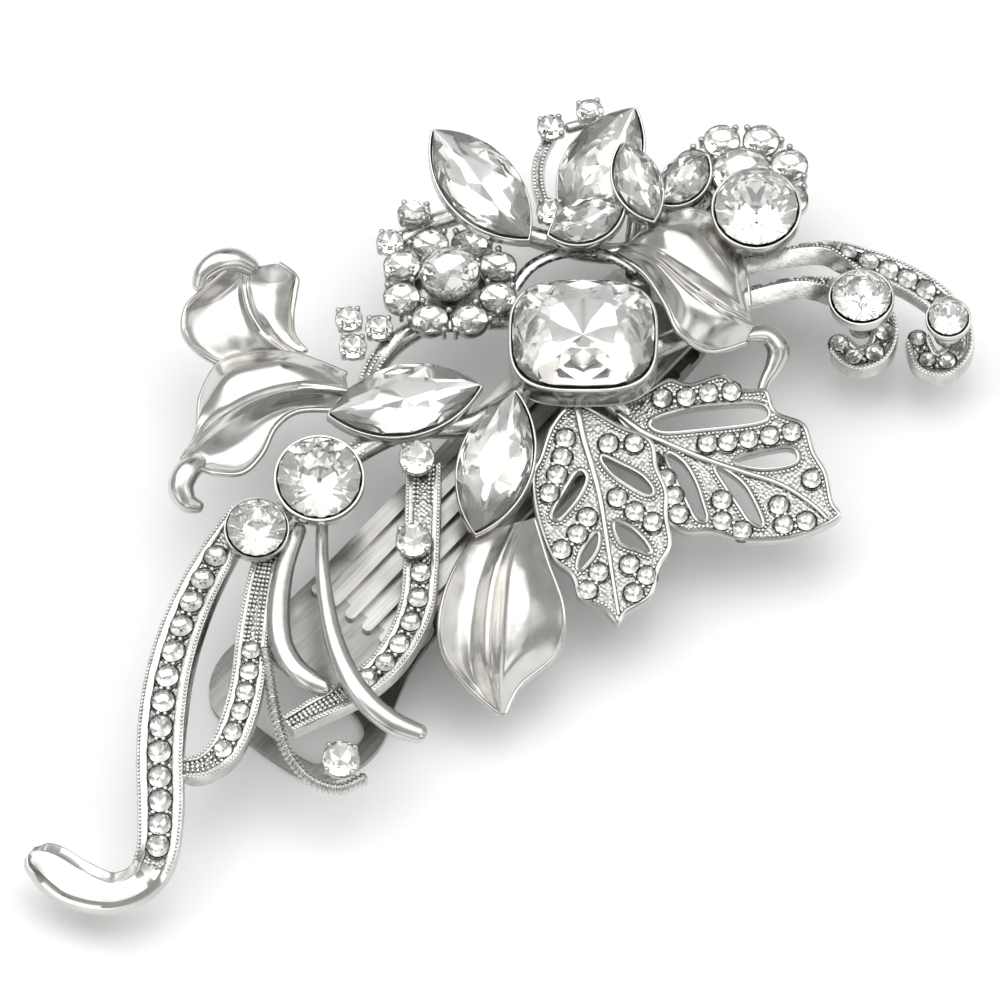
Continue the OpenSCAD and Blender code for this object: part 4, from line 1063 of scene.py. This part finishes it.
def leaf(name, place, edge, slots, rib, stones):
    """A cupped, pierced leaf with beaded edges, a midrib and crystals set one by one."""
    m = set_at(place, leaf_lean)
    up = m[:3, 2]
    ribs = line([tuple(p) + (0,) for p in rib], 8)
    spine = [np.array(p[:2]) for p in ribs]

    def height(p):
        away = to_line(p, spine)
        return 0.5 * min(1.0, away / 7) ** 1.5 - 0.12 * math.exp(-((away / 1.2) ** 2))

    stones = [np.array(s, float) for s in stones]
    metal, cut = Shape(), Shape()
    loops, outline = leaf_plate(metal, m, edge, slots, height)

    def lifted(p, extra=0.0):
        return through(m, [(p[0], p[1], height(np.array(p[:2])) + extra)])[0]

    def inward(loop, inset):
        k = len(loop)
        area = sum(a[0] * b[1] - b[0] * a[1] for a, b in zip(loop, loop[1:] + loop[:1]))
        turn = 1 if area > 0 else -1
        out = []
        for i, p in enumerate(loop):
            d = unit(loop[(i + 1) % k] - loop[i - 1])
            out.append(p + np.array([-d[1], d[0]]) * inset * turn)
        return out

    for number, loop in enumerate(loops):
        sign = 1 if number == 0 else -1
        rim = inward(loop, 0.2 * sign)
        tube(metal, [lifted(p, 0.06) for p in rim + rim[:1]], [0.23] * (len(rim) + 1), 8, BRIGHT)
        for p, _ in spaced([np.append(q, 0) for q in inward(loop, 0.62 * sign)], 0.42, True):
            if min(np.linalg.norm(p[:2] - s) for s in stones) > pave_r * 0.95 + 0.05:
                bead(metal, lifted(p, 0.06), up, 0.2)
    last = len(ribs) - 1
    radii = [0.42 - 0.2 * i / last for i in range(last + 1)]
    tube(metal, [lifted(p, 0.22) for p in ribs], radii, 12, BRIGHT, 0.8)
    for s in stones:
        seat(metal, axes_at(lifted(s, 0.22), up), pave_r)
        round_gem(cut, axes_at(lifted(s, 0.34), up), pave_r, PAVE_DEEP)
    links = sorted(
        (np.linalg.norm(a - b), i, j)
        for i, a in enumerate(stones) for j, b in enumerate(stones) if i < j
    )
    for d, i, j in links:
        if d < 2.7:
            mid, across = (stones[i] + stones[j]) / 2, unit(stones[j] - stones[i])
            out = np.array([-across[1], across[0]]) * (math.sqrt(max(0.02, 1.2 - d * d / 4)) + 0.22)
            for q in (mid + out, mid - out):
                if inside(q, outline) and min(np.linalg.norm(q - s) for s in stones) > 0.85:
                    bead(metal, lifted(q, 0.14), up, 0.27)
    setting_piece(name, metal)
    stone_piece(name + "_crystals", cut, PAVE)


leaf("large_leaf", large_leaf_at, large_leaf_edge, large_leaf_slots, large_leaf_rib,
     large_leaf_stones)
leaf("small_leaf", small_leaf_at, small_leaf_edge, small_leaf_slots, small_leaf_rib,
     small_leaf_stones)


# ---- bezel-set crystals ----


def single(name, stone_name, m, r, depth, wall, stem=None):
    """A round crystal in a bezel or a cup, on its own stem where it has one."""
    metal, cut = Shape(), Shape()
    round_cup(metal, m, r + 0.1, depth, wall)
    if stem:
        tube(metal, stem[0], [stem[1]] * len(stem[0]), 20)
    round_gem(cut, m @ moved((0, 0.08, 0.06)), r + 0.06, BEZEL_DEEP)
    bright_piece(name, metal)
    stone_piece(stone_name, cut)


def stem_under(p, low, high, r, shift=(0, 0)):
    """(points, radius) of an upright stem below a cup."""
    x, y = p[0] + shift[0], p[1] + shift[1]
    return [(x, y, low + r * 0.6), (x, y, (low + high) / 2), (x, y, high)], r


single("large_round_bezel", "large_round", set_at(large_round_at), round_r, 3.6, 0.36)
single("medium_round_bezel", "medium_round", set_at(medium_round_at), medium_r, 2.6, 0.26)
single("front_cup", "front_crystal", set_at(front_at, 6), round_r, 3.4, 0.32,
       stem_under(front_at, 9.8, 13.8, 1, (0.3, -1)))
single("tall_cup", "tall_cup_crystal", set_at(tall_cup_at, 0), medium_r, 2.6, 0.3,
       stem_under(tall_cup_at, 7, 10.75, 1.25))
single("ringed_cup", "ringed_cup_crystal", set_at(ringed_cup_at, 4), 1.9, 1.8, 0.3,
       stem_under(ringed_cup_at, 7, 8.9, 1.4))


def fancy(name, stone_name, places, make, depth, cut_to, wall=0.38, mains=8):
    """Bezels that are not round; cut_to is the stones' (crown, pavilion, table)."""
    metal, cut = Shape(), Shape()
    for m, l, w in places:
        fancy_bezel(metal, m @ moved((0, -0.1, 0)), l, w, depth, wall, make)
        outline = make(l + 0.2, w + 0.2)
        gem(cut, m @ moved((0, 0.06, 0.12)), outline, *cut_to, 0.08, mains)
    bright_piece(name, metal, 50)
    stone_piece(stone_name, cut)


fancy("centre_bezel", "centre_crystal", [(moved(centre_at), cushion_l, cushion_w)],
      cushion_outline, 3.4, (1.9, 2, 0.48), 0.5, 12)
for name, place, turn in (("left_navette", left_navette_at, 11),
                          ("lower_navette", lower_navette_at, 75)):
    fancy(name + "_bezel", name, [(set_at(place, lean, turn), navette_l, navette_w)],
          navette_outline, 2.2, (1.2, 1.0, 0.42))
fancy("top_navette_bezels", "top_navettes",
      [(set_at(p, lean, turn), l, w) for p, turn, l, w in top_navette_list],
      navette_outline, 2.2, (1.1, 1.0, 0.42))


# ---- small prong-set crystals ----


def prong_set(metal, cut, places):
    """Cups with four claws and a crystal each, at (point, tilt, radius) places."""
    for p, tilt, r in places:
        m = set_at(p, tilt)
        round_cup(metal, m, r, 1.5, 0.1)
        prongs(metal, m, r, 4, 45 + chance.uniform(-12, 12), 0.3)
        round_gem(cut, m, r + 0.04, CLAW_DEEP)


def prong_piece(name, stone_name, places, extra=None):
    metal, cut = Shape(), Shape()
    prong_set(metal, cut, places)
    if extra:
        extra(metal)
    setting_piece(name, metal)
    stone_piece(stone_name, cut)


prong_piece("accent_cups", "accent_crystals", accent_list)
prong_piece("cluster_cups", "cluster_crystals", cluster_list)


def beaded_stem(metal):
    rod(metal, bud_stem_path, 12, 6)
    pts = line(bud_stem_path, 6)
    for side in (-0.35, 0.35):
        beads_along(metal, [p[:3] + [side, 0, 0.5] for p in pts], 0.22, 0.45)


prong_piece("bud_stem", "bud_crystals", bud_list, beaded_stem)


# ---- crystal flowers ----


def flower(name, m, sides=()):
    """A disc with eight petal crystals, a raised centre crystal and any side crystals."""
    metal, petals, centre = Shape(), Shape(), Shape()
    disc = [(0.02, -2.3), (4.6, -2.3), (4.9, -2.1), (4.9, -1.6), (4.6, -1.4), (0.02, -1.4)]
    lathe(metal, m, disc)
    for i in range(8):
        a = math.radians(22.5 + 45 * i)
        place = m @ moved((5.2 * math.cos(a), 5.2 * math.sin(a), 0))
        round_cup(metal, place, flower_r + 0.1, 1.8, 0.1)
        round_gem(petals, place, flower_r + 0.1, CLAW_DEEP)
        for reach, turn in ((3.75, 0.36), (6.3, 0.3), (6.3, -0.3)):
            b = a + turn
            x, y = reach * math.cos(b), reach * math.sin(b)
            foot, top = through(m, [(x, y, -1.3), (x, y, 0.1)])
            tube(metal, [foot, top], [0.24, 0.24], 8)
            ball(metal, top, m[:3, 2], 0.36)
    high = m @ moved((0, 0, 1.8))
    round_cup(metal, high, medium_r, 2.4, 0.14, 0.02)
    prongs(metal, high, medium_r, 6, 10, 0.24, -1.5)
    round_gem(centre, high, medium_r, CENTRE_DEEP)
    prong_set(metal, petals, sides)
    setting_piece(name, metal)
    stone_piece(name + "_crystals", petals)
    stone_piece(name + "_centre", centre)


flower("left_flower", set_at(left_flower_at, -8), flower_side_list)
flower("right_flower", set_at(right_flower_at, 0))


# ---- lilies ----


def lily(name, surface, ridges, lips, rolls=()):
    """A petal with rolled edges; surface is (left, vein, right, rise_left, rise_right)."""
    metal = Shape()
    petal(metal, *surface, ridges, lips)
    for path in (surface[0], surface[2]):
        pts = [p - [0, 0, 0.3] for p in line(path, 10)]
        tube(metal, pts, [0.3] * len(pts), 10)
    for path in rolls:
        rod(metal, path, 18, 10, 0.85)
    piece(name + "_metal", metal, [POLISHED], name, 60)


lily("left_lily_upper", (left_upper_inner, left_upper_vein, left_upper_outer, -0.6, -0.7),
     [(1.9, 0.35, 0.22), (2.15, 0.3, 0.22)], (0.35, 0.3), [left_hook])
lily("left_lily_lower", (left_lower_upper, left_lower_vein, left_lower_under, 1.8, -0.7),
     [(1.85, 0.35, 0.22), (2.1, 0.35, 0.22)], (0.2, 0.3), [left_curl])
lily("right_lily", (right_inner, right_vein, right_outer, 1, 1.7),
     [(1.7, 0.4, 0.22), (1.95, 0.5, 0.24), (2.2, 0.35, 0.22)], (0.2, 0.2), [right_tail])
lily("lower_lily", (lower_left, lower_vein, lower_right, -1.5, 1.2),
     [(1.72, 0.45, 0.24), (2.0, 0.5, 0.24), (2.28, 0.45, 0.24)], (0.2, 0.1))


def lily_rim():
    metal = Shape()
    band(metal, rim_path, 1.2, lambda t: 0.0, 12)
    bright_piece("lily_rim", metal)


lily_rim()


# ---- rods ----


def rods(name, paths, material, sides=14, n=9, flat=1.0, beads=()):
    """Rods along paths, with three rows of milgrain on each (path number, start, end) of beads."""
    metal = Shape()
    for path in paths:
        rod(metal, path, sides, n, flat)
    for k, start, end in beads:
        pts = line(paths[k], 10, end, start)
        for side in (-0.62, 0, 0.62):
            shifted = []
            for i, p in enumerate(pts):
                d = unit(pts[min(i + 1, len(pts) - 1)][:3] - pts[max(i - 1, 0)][:3])
                s = unit(np.cross(UP, d))
                up = np.cross(d, s)
                shifted.append(p[:3] + (s * side + up * math.sqrt(1 - side * side)) * p[3] * 0.95)
            beads_along(metal, shifted, 0.24, 0.46)
    piece(name + "_metal", metal, [material], name)


rods("branch_frame", branch_list, CAST, beads=[(0, 0, 3), (1, 0, 1.4)])
for name, path in (("stamen_left", stamen_left_path), ("stamen_right", stamen_right_path)):
    rods(name, [path], POLISHED, 20, 12, 0.8)


def rope():
    """The milgrain curl: a wire that swells and narrows along its length like a row of beads."""
    metal = Shape()
    pts = line(curl_path, 60)
    run, radii = 0.0, []
    for i, p in enumerate(pts):
        if i:
            run += np.linalg.norm(p[:3] - pts[i - 1][:3])
        radii.append(p[3] * (1.05 + 0.2 * math.sin(2 * math.pi * run / 0.52)))
    tube(metal, pts, radii, 12)
    piece("milgrain_curl_metal", metal, [CAST], "milgrain_curl")


rope()


# ---- the clip ----


def spring():
    """The spring's coil on the pin, one leg under the tab and one on the lower lever."""
    pin_x, pin_z = -19, 4.5
    half, coil_r, wire_r, pitch = 2.475, 1.5, 0.32, 0.9
    step, steps = 15, 132
    leg_x, on_tab, on_lever = pin_x - 7.5, 6.68, 1.17
    pts = [(leg_x, -half, on_tab), (pin_x - 1.5, -half, pin_z + 1.52)]
    for i in range(steps + 1):
        a = math.radians(90 - step * i)
        along = -half + pitch * i * step / 360
        pts.append((pin_x + coil_r * math.cos(a), along, pin_z + coil_r * math.sin(a)))
    pts += [(pin_x - 1.5, half, pin_z - 1.6), (leg_x, half, on_lever)]
    pts = [(x * TURN_COS - y * TURN_SIN, x * TURN_SIN + y * TURN_COS, z) for x, y, z in pts]
    metal = Shape()
    tube(metal, pts, [wire_r] * len(pts), 10)
    piece("torsion_spring_wire", metal, [WIRE], "torsion_spring")


spring()
for node, material, width in (
    ("upper_jaw", BRUSHED, 0.18), ("lower_jaw", BRUSHED, 0.16), ("hinge_pin", BRUSHED, 0.08),
    ("solder_posts", CAST, 0.15),
):
    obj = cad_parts[node]
    obj.data.materials.clear()
    obj.data.materials.append(material)
    bevel = obj.modifiers.new("soft_edges", "BEVEL")
    bevel.width = width / 1000
    bevel.segments = 2
    bevel.limit_method = "ANGLE"
    bevel.angle_limit = math.radians(40)


# ---- stage ----


def around(polar, turn):
    """A direction so many degrees off the front light's axis, turned about it."""
    a, b = math.radians(polar), math.radians(turn)
    x, y, z = math.sin(a) * math.cos(b), math.sin(a) * math.sin(b), math.cos(a)
    return spray_direction(x, 0.866 * y - 0.5 * z, 0.5 * y + 0.866 * z)


def aimed(name, data, direction, distance):
    """A light or the camera, so many metres out along a direction and facing the origin."""
    obj = linked(name, data)
    obj.location = direction * distance
    obj.rotation_mode = "QUATERNION"
    obj.rotation_quaternion = direction.to_track_quat("Z", "Y")
    return obj


def floor():
    half = 3
    corners = [(-half, -half, 0), (half, -half, 0), (half, half, 0), (-half, half, 0)]
    mesh = bpy.data.meshes.new("floor")
    mesh.from_pydata(corners, [], [(0, 1, 2, 3)])
    m, tree, shader, place = new_material("floor_paper")
    stops = [(0.3, (0.93, 0.935, 0.935)), (0.7, (0.945, 0.95, 0.95))]
    coloured(tree, shader, noise(tree, place, 40), stops)
    shader.inputs["Roughness"].default_value = 0.85
    shader.inputs["Specular IOR Level"].default_value = 0.2
    mesh.materials.append(m)
    linked("floor", mesh)


def camera():
    """Nearly parallel, 60 degrees up, and as wide as the photograph: seen_width metres."""
    seen_width, height = 0.1, math.radians(60)
    data = bpy.data.cameras.new("camera")
    data.lens = 1200
    data.sensor_width = 36
    data.clip_start, data.clip_end = 0.1, 50
    back = spray_direction(0, -math.cos(height), math.sin(height))
    distance = seen_width * data.lens / data.sensor_width
    bpy.context.scene.camera = aimed("camera", data, back, distance)


def area_light(name, direction, distance, size, energy):
    data = bpy.data.lights.new(name, "AREA")
    data.shape = "DISK"
    data.size = size
    data.energy = energy
    aimed(name, data, direction, distance).visible_camera = False


# Patches of the tent, each (polar, turn, outer edge, inner edge, gain or share kept), in degrees
PANELS = (
    (42, 100, 15, 11, 1.1), (43, 158, 13, 9, 1.0), (42, 212, 12, 9, 0.8), (43, 42, 13, 9, 1.0),
    (44, 335, 12, 9, 0.7), (42, 272, 11, 8, 0.7), (24, 118, 7, 5, 0.8), (25, 10, 6, 4, 0.6),
    (62, 130, 14, 10, 0.8), (66, 15, 13, 9, 0.7), (64, 190, 12, 8, 0.6), (12, 70, 5, 3, 0.7)
)
GAPS = (
    (0, 0, 6, 3, 0.5), (21, 240, 6, 4, 0.1), (22, 15, 5, 3.5, 0.15), (20, 130, 4, 3, 0.2),
    (50, 72, 7, 5, 0.15), (52, 300, 10, 7, 0.15), (50, 240, 8, 6, 0.15), (52, 185, 7, 5, 0.2),
    (54, 355, 7, 5, 0.15), (78, 225, 13, 9, 0.2), (80, 320, 13, 9, 0.2), (84, 80, 12, 8, 0.25)
)


def studio():
    """A pale tent with brighter panels and a few dark gaps for the metal and the stones to show."""
    world = bpy.data.worlds.new("studio")
    bpy.context.scene.world = world
    world.use_nodes = True
    tree = world.node_tree
    tree.nodes.clear()
    out = tree.nodes.new("ShaderNodeOutputWorld")
    back = tree.nodes.new("ShaderNodeBackground")
    tree.links.new(back.outputs[0], out.inputs[0])
    way = tree.nodes.new("ShaderNodeTexCoord").outputs["Generated"]

    def math_node(kind, a, b):
        n = tree.nodes.new("ShaderNodeMath")
        n.operation = kind
        for socket, v in zip(n.inputs, (a, b)):
            if isinstance(v, (int, float)):
                socket.default_value = v
            else:
                tree.links.new(v, socket)
        return n.outputs[0]

    def patch(direction, outer, inner):
        dot = tree.nodes.new("ShaderNodeVectorMath")
        dot.operation = "DOT_PRODUCT"
        tree.links.new(way, dot.inputs[0])
        dot.inputs[1].default_value = direction
        r = tree.nodes.new("ShaderNodeMapRange")
        r.interpolation_type = "SMOOTHSTEP"
        r.inputs["From Min"].default_value = math.cos(math.radians(outer))
        r.inputs["From Max"].default_value = math.cos(math.radians(inner))
        tree.links.new(dot.outputs["Value"], r.inputs["Value"])
        return r.outputs["Result"]

    def brightened(level, where, gain):
        return math_node("ADD", level, math_node("MULTIPLY", where, gain))

    def dimmed(level, where, loss):
        kept = math_node("SUBTRACT", 1.0, math_node("MULTIPLY", where, loss))
        return math_node("MULTIPLY", level, kept)

    split = tree.nodes.new("ShaderNodeSeparateXYZ")
    tree.links.new(way, split.inputs[0])
    level = spread(tree, split.outputs["Z"], 0.4, 0.56, -0.1, 0.9)
    ring = math_node("SUBTRACT", patch(around(0, 0), 62, 46), patch(around(0, 0), 38, 25))
    level = brightened(level, ring, 0.45)
    for polar, turn, outer, inner, gain in PANELS:
        level = brightened(level, patch(around(polar, turn), outer, inner), gain)
    for polar, turn, outer, inner, kept in GAPS:
        level = dimmed(level, patch(around(polar, turn), outer, inner), 1 - kept)
    level = dimmed(level, patch(KEY_FROM, 38, 22), 0.65)
    flecks = spread(tree, noise(tree, way, 5.5, 5, 0.65), 1.0, 0.15, 0.62, 0.66)
    level = math_node("MULTIPLY", level, flecks)
    tree.links.new(level, back.inputs["Strength"])
    back.inputs["Color"].default_value = (1.0, 1.0, 1.0, 1)


KEY_FROM = spray_direction(-0.25, 0.25, 0.93)
floor()
camera()
studio()
area_light("key", KEY_FROM, 0.7, 0.9, 3.2)
area_light("fill", spray_direction(0.35, 0.1, 0.93), 0.8, 0.8, 1.5)
bpy.context.scene.view_settings.view_transform = "Standard"
